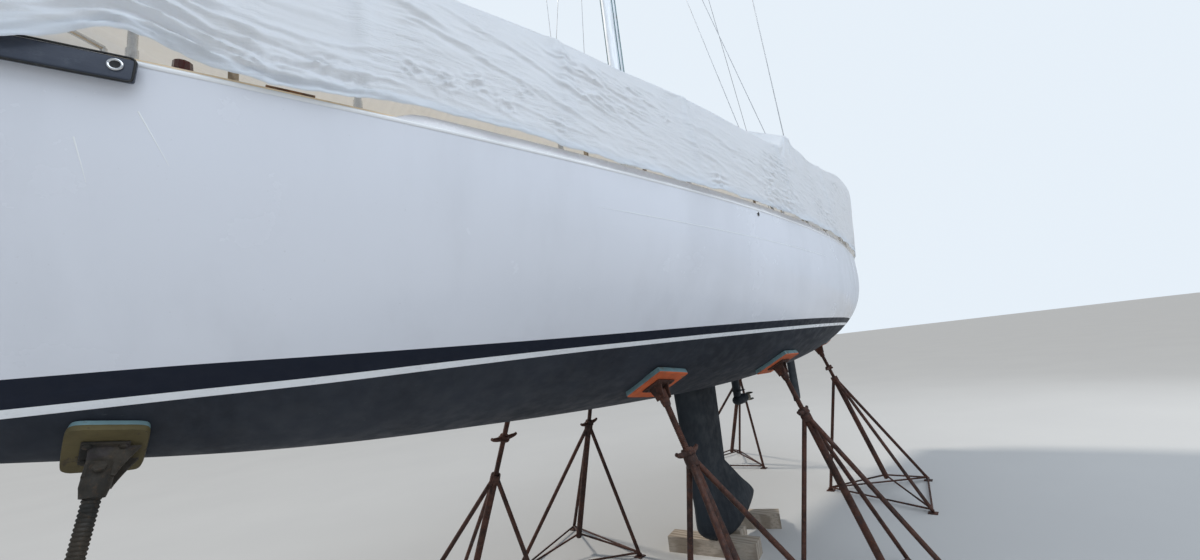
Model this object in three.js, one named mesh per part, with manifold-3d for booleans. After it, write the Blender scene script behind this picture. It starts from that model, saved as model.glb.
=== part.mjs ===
// Sailing yacht laid up ashore on jack stands and keel timbers, under a winter cover.
// Millimetres. X runs forward to the bow, Y to port, Z up. The ground is Z = 0.
import * as THREE from 'three';
import { mergeVertices } from 'three/addons/utils/BufferGeometryUtils.js';
import Module from 'manifold-3d';

const wasm = await Module();
wasm.setup();

// Driving dimensions of the yacht
const LENGTH = 9500;
const WATERLINE_HEIGHT = 2005;
const DRAFT = 1860;
const STEM_RAKE = 420;
const STEM_HALF_THICKNESS = 14;
const TRANSOM_RAKE = 230;
const DECK_THICKNESS = 22;
const DECK_CAMBER = 60;
const DECK_INSET = 12;
const RAIL_WIDTH = 26;
const RAIL_HEIGHT = 32;
const GUARDRAIL_HEIGHT = 590;
const GUARDRAIL_INSET = 72;
const MAST_PLACE = 4880;
const MAST_LENGTH = 11600;
const COVER_THICKNESS = 12;
const GAP = 0.3;
const SLIVER = 0.02;

// Hull sections from stern to bow. Columns: place along the length from 0 to 1, half breadth at
// the gunwale, gunwale height over the waterline, body depth under the waterline, exponents of
// the section curve across and down.
const HULL_SECTIONS = [
  { place: 0, breadth: 930, sheer: 965, depth: 5, across: 2.2, down: 2.6 },
  { place: 0.12, breadth: 1150, sheer: 880, depth: 150, across: 2.2, down: 3.0 },
  { place: 0.25, breadth: 1310, sheer: 818, depth: 300, across: 2.1, down: 3.4 },
  { place: 0.375, breadth: 1412, sheer: 786, depth: 405, across: 2.0, down: 3.6 },
  { place: 0.5, breadth: 1400, sheer: 784, depth: 440, across: 2.0, down: 3.5 },
  { place: 0.625, breadth: 1250, sheer: 816, depth: 415, across: 1.9, down: 3.0 },
  { place: 0.75, breadth: 965, sheer: 876, depth: 355, across: 1.7, down: 2.4 },
  { place: 0.875, breadth: 550, sheer: 970, depth: 253, across: 1.8, down: 2.55 },
  { place: 1, breadth: STEM_HALF_THICKNESS, sheer: 1094, depth: 48, across: 1.7, down: 2.0 },
];
const HULL_STEPS = 28;
const SECTION_STEPS = 11;

// Paint, timber, metal and cloth colours
const PAINTS = {
  gelcoat: { color: 0xd9dce4, roughness: 0.25, metalness: 0 },
  antifouling: { color: 0x2b333b, roughness: 0.8, metalness: 0 },
  deck: { color: 0xe2d2ad, roughness: 0.6, metalness: 0 },
  stainless: { color: 0xc9ccd0, roughness: 0.2, metalness: 1 },
  aluminium: { color: 0xb9c0c9, roughness: 0.4, metalness: 1 },
  bronze: { color: 0x8d7546, roughness: 0.5, metalness: 1 },
  navy: { color: 0x1a2236, roughness: 0.7, metalness: 0 },
  lamp: { color: 0x7c1414, roughness: 0.2, metalness: 0 },
  lampGreen: { color: 0x14603a, roughness: 0.2, metalness: 0 },
  cloth: { color: 0xc9cfd5, roughness: 0.9, metalness: 0 },
  rust: { color: 0x4a3429, roughness: 0.9, metalness: 0.3 },
  plywood: { color: 0xc8602f, roughness: 0.8, metalness: 0 },
  timber: { color: 0xa8906c, roughness: 0.9, metalness: 0 },
};

const yacht = new THREE.Group();
const materials = {};
for (const [name, look] of Object.entries(PAINTS)) {
  materials[name] = new THREE.MeshStandardMaterial({ name, ...look });
}

function addMesh(name, geometry, material) {
  const mesh = new THREE.Mesh(geometry, materials[material]);
  mesh.name = name;
  yacht.add(mesh);
  return mesh;
}

// Solids in and out of the boolean library
function toSolid(geometry) {
  const bare = geometry.clone();
  bare.deleteAttribute('normal');
  bare.deleteAttribute('uv');
  const merged = mergeVertices(bare, 0.001);
  const mesh = new wasm.Mesh({
    numProp: 3,
    vertProperties: new Float32Array(merged.attributes.position.array),
    triVerts: new Uint32Array(merged.index.array),
  });
  return new wasm.Manifold(mesh);
}

function toGeometry(solid) {
  const mesh = solid.simplify(SLIVER).getMesh();
  const geometry = new THREE.BufferGeometry();
  geometry.setAttribute('position', new THREE.BufferAttribute(mesh.vertProperties, 3));
  geometry.setIndex(new THREE.BufferAttribute(mesh.triVerts, 1));
  geometry.computeVertexNormals();
  return geometry;
}

function unite(geometries) {
  let solid = toSolid(geometries[0]);
  for (const geometry of geometries.slice(1)) {
    solid = solid.add(toSolid(geometry));
  }
  return toGeometry(solid);
}

function cut(geometry, ...tools) {
  let solid = toSolid(geometry);
  for (const tool of tools) {
    solid = solid.subtract(toSolid(tool));
  }
  return toGeometry(solid);
}

function shifted(geometry, x, y, z) {
  return geometry.clone().translate(x, y, z);
}

// A closed body lofted through rings of equal point counts, with flat ends
function loftRings(rings) {
  const count = rings[0].length;
  const positions = rings.flat().flatMap((point) => [point.x, point.y, point.z]);
  const faces = [];
  for (let row = 0; row < rings.length - 1; row += 1) {
    for (let side = 0; side < count; side += 1) {
      const next = (side + 1) % count;
      const a = row * count + side;
      const b = row * count + next;
      faces.push(a, b, b + count, a, b + count, a + count);
    }
  }
  const last = (rings.length - 1) * count;
  for (const [i, j, k] of THREE.ShapeUtils.triangulateShape(flatOutline(rings[0]), [])) {
    faces.push(i, k, j);
  }
  for (const [i, j, k] of THREE.ShapeUtils.triangulateShape(flatOutline(rings.at(-1)), [])) {
    faces.push(last + i, last + j, last + k);
  }
  const geometry = new THREE.BufferGeometry();
  geometry.setAttribute('position', new THREE.Float32BufferAttribute(positions, 3));
  geometry.setIndex(faces);
  return facingOut(geometry);
}

// A ring's points in its own plane, for its end cap
function flatOutline(ring) {
  const normal = new THREE.Vector3();
  ring.forEach((point, index) => {
    const next = ring[(index + 1) % ring.length];
    normal.add(new THREE.Vector3().crossVectors(point, next));
  });
  normal.normalize();
  const helper = Math.abs(normal.z) < 0.9 ? new THREE.Vector3(0, 0, 1) : new THREE.Vector3(1, 0, 0);
  const across = new THREE.Vector3().crossVectors(helper, normal).normalize();
  const up = new THREE.Vector3().crossVectors(normal, across);
  return ring.map((point) => new THREE.Vector2(point.dot(across), point.dot(up)));
}

function facingOut(geometry) {
  const position = geometry.attributes.position;
  const index = geometry.index.array;
  const corner = (k) => new THREE.Vector3().fromBufferAttribute(position, index[k]);
  let volume = 0;
  for (let k = 0; k < index.length; k += 3) {
    volume += corner(k).dot(corner(k + 1).cross(corner(k + 2)));
  }
  if (volume < 0) {
    for (let k = 0; k < index.length; k += 3) {
      [index[k], index[k + 1]] = [index[k + 1], index[k]];
    }
  }
  geometry.computeVertexNormals();
  return geometry;
}

// A round bar between two points
function bar(from, to, radius, sides = 6) {
  const length = from.distanceTo(to);
  const geometry = new THREE.CylinderGeometry(radius, radius, length, sides);
  geometry.translate(0, length / 2, 0);
  const turn = new THREE.Quaternion().setFromUnitVectors(
    new THREE.Vector3(0, 1, 0),
    to.clone().sub(from).normalize(),
  );
  geometry.applyQuaternion(turn);
  return geometry.translate(from.x, from.y, from.z);
}

function ball(center, radius) {
  const geometry = new THREE.SphereGeometry(radius, 6, 4);
  return geometry.translate(center.x, center.y, center.z);
}

// Bars through a row of points, rounded at the corners
function bentBar(points, radius, sides = 6) {
  const pieces = [];
  for (let k = 0; k < points.length - 1; k += 1) {
    pieces.push(bar(points[k], points[k + 1], radius, sides));
    if (k > 0) {
      pieces.push(ball(points[k], radius * 1.08));
    }
  }
  return pieces;
}

function block(center, sizeX, sizeY, sizeZ) {
  return new THREE.BoxGeometry(sizeX, sizeY, sizeZ).translate(center.x, center.y, center.z);
}

const at = (x, y, z) => new THREE.Vector3(x, y, z);

// A value of one column of a table with a place column, on a smooth curve
function tableValue(table, column, place) {
  const rows = table.length;
  let k = 0;
  while (k < rows - 2 && place > table[k + 1].place) {
    k += 1;
  }
  const slope = (i) => {
    const low = table[Math.max(i - 1, 0)];
    const high = table[Math.min(i + 1, rows - 1)];
    return (high[column] - low[column]) / (high.place - low.place);
  };
  const span = table[k + 1].place - table[k].place;
  const s = THREE.MathUtils.clamp((place - table[k].place) / span, 0, 1);
  const h01 = s * s * (3 - 2 * s);
  const h10 = s * (1 - s) * (1 - s);
  const h11 = s * s * (s - 1);
  return (
    table[k][column] * (1 - h01) + table[k + 1][column] * h01 +
    span * (slope(k) * h10 + slope(k + 1) * h11)
  );
}

// Hull surface
const hullValue = (column, place) => tableValue(HULL_SECTIONS, column, place);
const sheerHeight = (place) => WATERLINE_HEIGHT + hullValue('sheer', place);
const STEM_TOP = sheerHeight(1);
const STEM_FOOT = WATERLINE_HEIGHT - hullValue('depth', 1);

function lengthwise(place, height) {
  const stemDrop = (STEM_TOP - height) / (STEM_TOP - STEM_FOOT);
  const stem = LENGTH / 2 - STEM_RAKE * stemDrop;
  const sternDrop = (sheerHeight(0) - height) / (sheerHeight(0) - WATERLINE_HEIGHT);
  const transom = -LENGTH / 2 + TRANSOM_RAKE * (1 - sternDrop);
  return transom + (stem - transom) * place;
}

// Round goes from 0 at the gunwale to 1 at the middle of the bottom
function hullPoint(place, round, side = 1) {
  const angle = (round * Math.PI) / 2;
  const top = sheerHeight(place);
  const height = top - WATERLINE_HEIGHT + hullValue('depth', place);
  const y = hullValue('breadth', place) * Math.cos(angle) ** (2 / hullValue('across', place));
  const z = top - height * Math.sin(angle) ** (2 / hullValue('down', place));
  return at(lengthwise(place, z), round === 1 ? 0 : side * y, z);
}

function hullNormal(place, round, side) {
  const step = 0.01;
  const along = hullPoint(place + step, round, side).sub(hullPoint(place - step, round, side));
  const down = hullPoint(place, round + step, side).sub(hullPoint(place, round - step, side));
  const normal = along.cross(down).normalize();
  return normal.z < 0 ? normal : normal.negate();
}

// The point of the gunwale at an inset, from the stern at 0 to the bow at 1
function gunwale(place, side, inset = 0, rise = 0) {
  const top = sheerHeight(place);
  const y = Math.max(hullValue('breadth', place) - inset, 1);
  return at(lengthwise(place, top), side * y, top + rise);
}

// The place whose point on the gunwale, or on another line along the hull, lies at x
function placeAt(x, line = (place) => lengthwise(place, sheerHeight(place))) {
  let low = 0;
  let high = 1;
  for (let k = 0; k < 30; k += 1) {
    const middle = (low + high) / 2;
    if (line(middle) < x) {
      low = middle;
    } else {
      high = middle;
    }
  }
  return (low + high) / 2;
}

function hullRing(place) {
  const ring = [];
  for (let k = 0; k <= SECTION_STEPS; k += 1) {
    ring.push(hullPoint(place, k / SECTION_STEPS));
  }
  for (let k = SECTION_STEPS - 1; k >= 0; k -= 1) {
    ring.push(hullPoint(place, k / SECTION_STEPS, -1));
  }
  return ring;
}

const stations = Array.from({ length: HULL_STEPS + 1 }, (_, k) => k / HULL_STEPS);
const hullBody = loftRings(stations.map(hullRing));

// Rudder on its stock, which turns in a bore of the hull
const RUDDER = {
  stockPlace: 1195, stockRadius: 19, boreRadius: 19.8, stockTop: 260, chord: 335, balance: 80,
  thickness: 62, topGap: 30, depth: 1005, rake: 20,
};
const rudderX = RUDDER.stockPlace - LENGTH / 2;
const stockTopZ = WATERLINE_HEIGHT + RUDDER.stockTop;
const bottomAt = (x) => hullPoint(placeAt(x, (place) => hullPoint(place, 1).x), 1).z;
const hull = cut(
  hullBody,
  bar(at(rudderX, 0, WATERLINE_HEIGHT - 400), at(rudderX, 0, stockTopZ + 6), RUDDER.boreRadius, 16),
);
addMesh('hull', hull, 'gelcoat');

// A foil section from nose to tail around a middle line
function foilRing(noseX, chord, thickness, z) {
  const shares = [0, 0.06, 0.2, 0.45, 0.75, 1];
  const widths = [0, 0.6, 0.95, 1, 0.55, 0.08];
  const ring = [];
  shares.forEach((share, k) => ring.push(at(noseX - share * chord, widths[k] * thickness / 2, z)));
  for (let k = shares.length - 1; k > 0; k -= 1) {
    ring.push(at(noseX - shares[k] * chord, -widths[k] * thickness / 2, z));
  }
  return ring;
}

const bladeNose = rudderX + RUDDER.balance;
const bladeTopZ = bottomAt(bladeNose) - RUDDER.topGap;
const bladeBottomZ = WATERLINE_HEIGHT - RUDDER.depth;
const blade = loftRings([
  foilRing(bladeNose, RUDDER.chord, RUDDER.thickness, bladeTopZ),
  foilRing(bladeNose, RUDDER.chord * 0.96, RUDDER.thickness * 0.95, (bladeTopZ + bladeBottomZ) / 2),
  foilRing(bladeNose - RUDDER.rake, RUDDER.chord * 0.82, RUDDER.thickness * 0.8, bladeBottomZ),
]);
const stock = bar(at(rudderX, 0, bladeTopZ - 200), at(rudderX, 0, stockTopZ), RUDDER.stockRadius, 16);
addMesh('rudder', unite([blade, stock]), 'antifouling');

// Keel fin under the hull, and the foot under it that reaches aft
const KEEL = {
  rootNose: 4615, rootChord: 860, rootDrop: 300, thickness: 120,
  footTop: 770, footTopNose: 4545, footTopChord: 751, footTopThickness: 100,
};
const keelBottomZ = WATERLINE_HEIGHT - DRAFT;
const keelRing = (nose, chord, thickness, z) => foilRing(nose - LENGTH / 2, chord, thickness, z);
const fin = loftRings([
  keelRing(KEEL.rootNose, KEEL.rootChord, KEEL.thickness, WATERLINE_HEIGHT - KEEL.rootDrop),
  keelRing(KEEL.footTopNose, KEEL.footTopChord, KEEL.footTopThickness, KEEL.footTop),
]);
addMesh('keel_fin', cut(fin, shifted(hullBody, 0, 0, -GAP)), 'antifouling');

// Foot sections under its top. Columns: height over the ground, nose, chord, thickness
const FOOT_SECTIONS = [
  { height: 500, nose: 4515, chord: 1065, thickness: 140 },
  { height: 380, nose: 4503, chord: 1230, thickness: 200 },
  { height: 300, nose: 4485, chord: 1290, thickness: 240 },
  { height: 200, nose: 4380, chord: 1060, thickness: 240 },
  { height: keelBottomZ, nose: 4190, chord: 700, thickness: 170 },
];
addMesh('keel_foot', loftRings([
  keelRing(KEEL.footTopNose, KEEL.footTopChord, KEEL.footTopThickness, KEEL.footTop - GAP),
  ...FOOT_SECTIONS.map((row) => keelRing(row.nose, row.chord, row.thickness, row.height)),
]), 'antifouling');

// Saildrive leg, with its gear case, and the folded propeller behind it
const DRIVE = {
  nose: 3300, chord: 175, thickness: 74, caseDepth: 708, caseRadius: 56, caseLength: 310,
  hubRadius: 42, hubLength: 90, bladeLength: 170, bladeSpread: 34,
};
const driveNose = DRIVE.nose - LENGTH / 2;
const caseZ = WATERLINE_HEIGHT - DRIVE.caseDepth;
const caseAft = driveNose - DRIVE.caseLength + 20;
const leg = loftRings([
  foilRing(driveNose, DRIVE.chord, DRIVE.thickness, WATERLINE_HEIGHT - 300),
  foilRing(driveNose - 10, DRIVE.chord * 0.94, DRIVE.thickness * 0.9, caseZ - 20),
]);
const gearCase = new THREE.LatheGeometry([
  new THREE.Vector2(0, DRIVE.caseLength), new THREE.Vector2(DRIVE.caseRadius * 0.6, DRIVE.caseLength - 16),
  new THREE.Vector2(DRIVE.caseRadius, DRIVE.caseLength - 80), new THREE.Vector2(DRIVE.caseRadius, 60),
  new THREE.Vector2(DRIVE.caseRadius * 0.8, 0), new THREE.Vector2(0, 0),
], 14).rotateZ(-Math.PI / 2).translate(caseAft, 0, caseZ);
const driveBody = unite([leg, facingOut(gearCase)]);
addMesh('saildrive_leg', cut(driveBody, shifted(hullBody, 0, 0, -GAP)), 'antifouling');

const hub = bar(
  at(caseAft - GAP, 0, caseZ), at(caseAft - DRIVE.hubLength, 0, caseZ), DRIVE.hubRadius, 14,
);
const propellerPieces = [hub];
for (const side of [1, -1]) {
  const rootX = caseAft - DRIVE.hubLength + 40;
  const bladeRing = (x, z, width, depth) => [
    at(x, width, side * (z - depth)), at(x, 0, side * (z + depth * 0.4)), at(x, -width, side * (z - depth)),
    at(x, 0, side * (z - depth * 1.8)),
  ].map((point) => point.add(at(0, 0, caseZ)));
  propellerPieces.push(loftRings([
    bladeRing(rootX, DRIVE.bladeSpread, 26, 12),
    bladeRing(rootX - DRIVE.bladeLength * 0.5, DRIVE.bladeSpread + 8, 44, 9),
    bladeRing(rootX - DRIVE.bladeLength, DRIVE.bladeSpread, 12, 5),
  ]));
}
addMesh('propeller', unite(propellerPieces), 'bronze');

// Deck, coachroof and toe rails
const deckTop = (place, y) => {
  const edge = Math.max(hullValue('breadth', place) - 90, 1);
  const share = Math.max(1 - Math.abs(y) / edge, 0);
  const camber = (DECK_CAMBER * hullValue('breadth', place)) / 1400;
  return sheerHeight(place) + DECK_THICKNESS + camber * share;
};

function deckRing(place) {
  const half = Math.max(hullValue('breadth', place) - DECK_INSET, 2);
  const edge = Math.max(half - 78, half * 0.5);
  const low = sheerHeight(place) + GAP;
  const x = lengthwise(place, sheerHeight(place));
  return [
    at(x, half, low), at(x, half, deckTop(place, 1e6)), at(x, edge, deckTop(place, 1e6)),
    at(x, 0, deckTop(place, 0)),
    at(x, -edge, deckTop(place, 1e6)), at(x, -half, deckTop(place, 1e6)), at(x, -half, low),
  ];
}

const deckStations = stations.filter((place) => place < 0.999).map((place) => Math.max(place, 0.004));
const deck = loftRings(deckStations.map(deckRing));
addMesh('deck', deck, 'deck');

// Coachroof stations. Columns: place, half width, height over the deck
const ROOF_SECTIONS = [
  { place: 0.34, width: 780, height: 330 },
  { place: 0.5, width: 800, height: 345 },
  { place: 0.64, width: 640, height: 300 },
  { place: 0.76, width: 420, height: 170 },
  { place: 0.8, width: 320, height: 60 },
];

function roofRing(row) {
  const base = sheerHeight(row.place);
  const top = deckTop(row.place, 0) + row.height;
  const x = lengthwise(row.place, base);
  return [
    at(x, row.width, base + DECK_THICKNESS / 2), at(x, row.width * 0.93, top - 60),
    at(x, row.width * 0.82, top - 22), at(x, 0, top),
    at(x, -row.width * 0.82, top - 22), at(x, -row.width * 0.93, top - 60),
    at(x, -row.width, base + DECK_THICKNESS / 2),
  ];
}

const seatedOnDeck = (geometry) => (
  cut(geometry, shifted(deck, 0, 0, GAP), shifted(hullBody, 0, 0, GAP))
);
const coachroof = seatedOnDeck(loftRings(ROOF_SECTIONS.map(roofRing)));
addMesh('coachroof', coachroof, 'deck');

const railStations = stations.filter((place) => place > 0.02 && place < 0.81);
const SIDES = [['port', 1], ['starboard', -1]];
for (const [sideName, side] of SIDES) {
  const ring = (place) => {
    const outer = gunwale(place, side, DECK_INSET + 6, DECK_THICKNESS + GAP);
    const inward = (width, rise) => at(outer.x, outer.y - side * width, outer.z + rise);
    return [outer, inward(4, RAIL_HEIGHT), inward(RAIL_WIDTH - 4, RAIL_HEIGHT), inward(RAIL_WIDTH, 0)];
  };
  addMesh(`toe_rail_${sideName}`, seatedOnDeck(loftRings(railStations.map(ring))), 'gelcoat');
}

// Guard rails: stanchions joined by two lines, and the rails at both ends
const STANCHION_PLACES = [0.12, 0.25, 0.38, 0.51, 0.637, 0.73, 0.817];
const onDeck = (place, side, inset, rise) => gunwale(place, side, inset, DECK_THICKNESS + GAP + rise);

for (const [sideName, side] of SIDES) {
  const pieces = [];
  for (const place of STANCHION_PLACES) {
    const foot = onDeck(place, side, GUARDRAIL_INSET, 0);
    const tip = onDeck(place, side, GUARDRAIL_INSET, GUARDRAIL_HEIGHT);
    pieces.push(bar(foot, tip, 12.5));
    pieces.push(block(foot.clone().add(at(0, 0, 5)), 60, 24, 10));
  }
  for (const share of [0.5, 0.97]) {
    const line = STANCHION_PLACES.map((place) => (
      onDeck(place, side, GUARDRAIL_INSET, GUARDRAIL_HEIGHT * share)
    ));
    pieces.push(...bentBar(line, 4, 6));
  }
  addMesh(`guardrail_${sideName}`, seatedOnDeck(unite(pieces)), 'stainless');
}

function endRail(name, footPlaces, tip) {
  const rise = GUARDRAIL_HEIGHT * 0.97;
  const legs = [];
  const tops = [];
  for (const side of [1, -1]) {
    for (const place of footPlaces) {
      const foot = onDeck(place, side, GUARDRAIL_INSET, 0);
      const top = onDeck(place, side, GUARDRAIL_INSET, rise);
      legs.push(bar(foot, top, 12.5));
      legs.push(block(foot.clone().add(at(0, 0, 4)), 54, 24, 8));
    }
  }
  tops.push(...footPlaces.map((place) => onDeck(place, 1, GUARDRAIL_INSET, rise)));
  tops.push(...tip);
  tops.push(...footPlaces.toReversed().map((place) => onDeck(place, -1, GUARDRAIL_INSET, rise)));
  addMesh(name, seatedOnDeck(unite([...legs, ...bentBar(tops, 12.5)])), 'stainless');
}

const bowTopZ = sheerHeight(0.97) + DECK_THICKNESS + GUARDRAIL_HEIGHT;
const sternTopZ = sheerHeight(0.02) + DECK_THICKNESS + GUARDRAIL_HEIGHT * 0.97;
const sternX = lengthwise(0.02, sheerHeight(0.02));
endRail('pulpit', [0.878, 0.93], [
  at(lengthwise(0.965, STEM_TOP), 90, bowTopZ), at(lengthwise(0.965, STEM_TOP), -90, bowTopZ),
]);
endRail('pushpit', [0.09, 0.03], [
  at(sternX, 700, sternTopZ), at(sternX - 20, 0, sternTopZ), at(sternX, -700, sternTopZ),
]);

// Deck fittings: sidelights, stem fitting and cleats
for (const [sideName, side] of SIDES) {
  const foot = onDeck(0.866, side, 60, 0);
  const turn = new THREE.Matrix4().makeTranslation(foot.x, foot.y - side * 30, foot.z);
  const body = new THREE.CylinderGeometry(26, 30, 62, 12).rotateX(Math.PI / 2).translate(0, 0, 31);
  const lamp = side > 0 ? 'lamp' : 'lampGreen';
  addMesh(`sidelight_${sideName}`, seatedOnDeck(body.applyMatrix4(turn)), lamp);
}

const stemX = lengthwise(0.975, STEM_TOP);
const stemTop = deckTop(0.95, 0) + 14;
const stemFitting = seatedOnDeck(unite([
  block(at(stemX - 40, 0, stemTop + 4), 300, 56, 26),
  bar(at(stemX + 90, -34, stemTop + 20), at(stemX + 90, 34, stemTop + 20), 26, 12),
]));
addMesh('stem_fitting', stemFitting, 'stainless');

const CLEATS = [
  { name: 'cleat_bow_port', place: 0.9, side: 1 },
  { name: 'cleat_bow_starboard', place: 0.9, side: -1 },
  { name: 'cleat_stern_port', place: 0.06, side: 1 },
  { name: 'cleat_stern_starboard', place: 0.06, side: -1 },
];
for (const cleat of CLEATS) {
  const foot = onDeck(cleat.place, cleat.side, 140, 0);
  foot.z = deckTop(cleat.place, foot.y) + 4;
  const horns = foot.clone().add(at(0, 0, 42));
  addMesh(cleat.name, seatedOnDeck(unite([
    bar(foot.clone().add(at(28, 0, -8)), horns.clone().add(at(24, 0, 0)), 9),
    bar(foot.clone().add(at(-28, 0, -8)), horns.clone().add(at(-24, 0, 0)), 9),
    bar(horns.clone().add(at(-95, 0, 4)), horns.clone().add(at(95, 0, 4)), 9),
    block(foot, 90, 40, 8),
  ])), 'stainless');
}

// Mast with its head, spreaders and main stays
const mastX = MAST_PLACE - LENGTH / 2;
const MAST = { halfWidth: 60, halfLength: 90, spreaderShare: 0.5, spreaderLength: 1090, sweep: 350 };
const mastPlace = placeAt(mastX);
const roofTopAt = (place) => deckTop(place, 0) + tableValue(ROOF_SECTIONS, 'height', place);
const mastFootZ = roofTopAt(mastPlace) + 14;
const mastOutline = new THREE.Shape();
mastOutline.absellipse(0, 0, MAST.halfLength, MAST.halfWidth, 0, Math.PI * 2);
const mastTube = new THREE.ExtrudeGeometry(mastOutline, {
  depth: MAST_LENGTH, bevelEnabled: false, curveSegments: 10,
}).translate(mastX, 0, mastFootZ);
const mastHeadZ = mastFootZ + MAST_LENGTH;
const CRANE = { length: 420, width: 60, rise: 20 };
const crane = block(at(mastX, 0, mastHeadZ + CRANE.rise), CRANE.length, CRANE.width, CRANE.width);
const mastStep = block(at(mastX, 0, mastFootZ - 12), 260, 160, 40);
addMesh('mast', cut(unite([mastTube, crane, mastStep]), shifted(coachroof, 0, 0, GAP)), 'aluminium');

const spreaderZ = mastFootZ + MAST_LENGTH * MAST.spreaderShare;
const STAY_RADIUS = 4;
const chainplatePlace = placeAt(4260 - LENGTH / 2);
const shroudLines = [];
for (const [sideName, side] of SIDES) {
  const root = at(mastX - 10, side * (MAST.halfWidth + GAP), spreaderZ);
  const tip = at(mastX - MAST.sweep, side * (MAST.halfWidth + MAST.spreaderLength), spreaderZ + 90);
  const section = (point, chord, depth) => [
    at(point.x + chord, point.y, point.z), at(point.x, point.y, point.z + depth),
    at(point.x - chord, point.y, point.z), at(point.x, point.y, point.z - depth),
  ];
  addMesh(`spreader_${sideName}`, loftRings([section(root, 46, 16), section(tip, 26, 11)]), 'aluminium');

  const foot = onDeck(chainplatePlace, side, 112, 0);
  foot.z = deckTop(chainplatePlace, foot.y) + GAP;
  const beyond = tip.clone().add(at(0, side * 9, 0));
  const upper = at(mastX, side * (MAST.halfWidth + 16), mastHeadZ - 40);
  const aim = beyond.clone().sub(foot).normalize();
  const screwTop = foot.clone().addScaledVector(aim, 300);
  const shroud = seatedOnDeck(unite([
    bar(foot.clone().add(at(0, 0, 18)), screwTop, 9),
    block(foot.clone().add(at(0, 0, 14)), 60, 12, 28),
    ...bentBar([foot.clone().addScaledVector(aim, 280), beyond, upper], STAY_RADIUS, 6),
  ]));
  shroudLines.push({ foot, beyond });
  addMesh(`cap_shroud_${sideName}`, shroud, 'stainless');
}

const stayHead = (end) => at(mastX + end * (CRANE.length / 2 + 12), 0, mastHeadZ + CRANE.rise);
const STAYS = [
  { name: 'forestay', foot: at(stemX - 120, 0, stemTop + 8), head: stayHead(1) },
  { name: 'backstay', foot: at(sternX + 70, 0, deckTop(0.035, 0) - 4), head: stayHead(-1) },
];
for (const stay of STAYS) {
  const aim = stay.head.clone().sub(stay.foot).normalize();
  const wire = seatedOnDeck(unite([
    bar(stay.foot, stay.foot.clone().addScaledVector(aim, 320), 10),
    bar(stay.foot.clone().addScaledVector(aim, 300), stay.head, STAY_RADIUS),
  ]));
  addMesh(stay.name, cut(wire, shifted(stemFitting, 0, 0, GAP)), 'stainless');
}

// Winter cover. Columns: place, rise of the hem, the shoulder and the ridge over the gunwale,
// inset of the shoulder
const COVER_SECTIONS = [
  { place: 0.006, hem: 60, shoulder: 930, ridge: 1040, inset: -30 },
  { place: 0.06, hem: 60, shoulder: 1000, ridge: 1180, inset: -20 },
  { place: 0.16, hem: 60, shoulder: 1040, ridge: 1260, inset: 0 },
  { place: 0.36, hem: 60, shoulder: 760, ridge: 1325, inset: 30 },
  { place: 0.45, hem: 60, shoulder: 800, ridge: 1325, inset: 34 },
  { place: 0.54, hem: 60, shoulder: 650, ridge: 1320, inset: 34 },
  { place: 0.7, hem: 60, shoulder: 655, ridge: 1270, inset: 34 },
  { place: 0.86, hem: 50, shoulder: 700, ridge: 1170, inset: 34 },
  { place: 0.94, hem: 70, shoulder: 735, ridge: 950, inset: 34 },
  { place: 0.985, hem: 110, shoulder: 740, ridge: 790, inset: 34 },
];
const COVER_STEPS = 26;
const HEM_FLARE = 24;
const STERN_REACH = 48;
const BOW_HALF_WIDTH = 170;

function coverRing(place, inset, reach) {
  const value = (column) => tableValue(COVER_SECTIONS, column, place);
  const base = sheerHeight(place);
  const x = lengthwise(place, base) + reach;
  const half = Math.max(hullValue('breadth', place), BOW_HALF_WIDTH);
  const hem = base + value('hem') - (inset > 0 ? 300 : 0);
  const shoulder = base + value('shoulder') - inset;
  const ridge = base + value('ridge') - inset;
  const hemY = half + HEM_FLARE - inset;
  const shoulderY = Math.max(half - value('inset'), half * 0.7) - inset;
  const lean = (share) => hemY + (shoulderY - hemY) * share;
  const slope = (share) => shoulder + (ridge - shoulder) * share;
  const portSide = [
    [hemY, hem], [lean(0.5), (base + value('hem') + shoulder) / 2], [lean(0.93), shoulder - 55],
    [shoulderY - 12, shoulder - 8], [shoulderY * 0.72, slope(0.34)], [shoulderY * 0.32, slope(0.76)],
    [0, ridge],
  ];
  const ring = portSide.map(([y, z]) => at(x, y, z));
  for (const [y, z] of portSide.slice(0, -1).toReversed()) {
    ring.push(at(x, -y, z));
  }
  return ring;
}

function coverBody(inset) {
  const first = COVER_SECTIONS[0].place;
  const last = COVER_SECTIONS.at(-1).place;
  const rings = [];
  for (let k = 0; k <= COVER_STEPS; k += 1) {
    const place = first + ((last - first) * k) / COVER_STEPS;
    const endReach = k === 0 ? inset - STERN_REACH : 0;
    rings.push(coverRing(place, inset, k === COVER_STEPS ? -inset : endReach));
  }
  return loftRings(rings);
}

const holes = [];
const mastHole = new THREE.Shape();
mastHole.absellipse(0, 0, MAST.halfLength + 12, MAST.halfWidth + 12, 0, Math.PI * 2);
holes.push(new THREE.ExtrudeGeometry(mastHole, { depth: 900, bevelEnabled: false, curveSegments: 10 })
  .translate(mastX, 0, sheerHeight(mastPlace) + 900));

function holeAlong(from, toward, start, end, radius) {
  const aim = toward.clone().sub(from).normalize();
  return bar(from.clone().addScaledVector(aim, start), from.clone().addScaledVector(aim, end), radius);
}

for (const { foot, beyond } of shroudLines) {
  holes.push(holeAlong(foot, beyond, 350, 1500, 16));
}
for (const stay of STAYS) {
  holes.push(holeAlong(stay.foot, stay.head, 200, 1700, 20));
}
const cover = cut(coverBody(0), coverBody(COVER_THICKNESS), ...holes);
addMesh('cover', cover, 'cloth');

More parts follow.
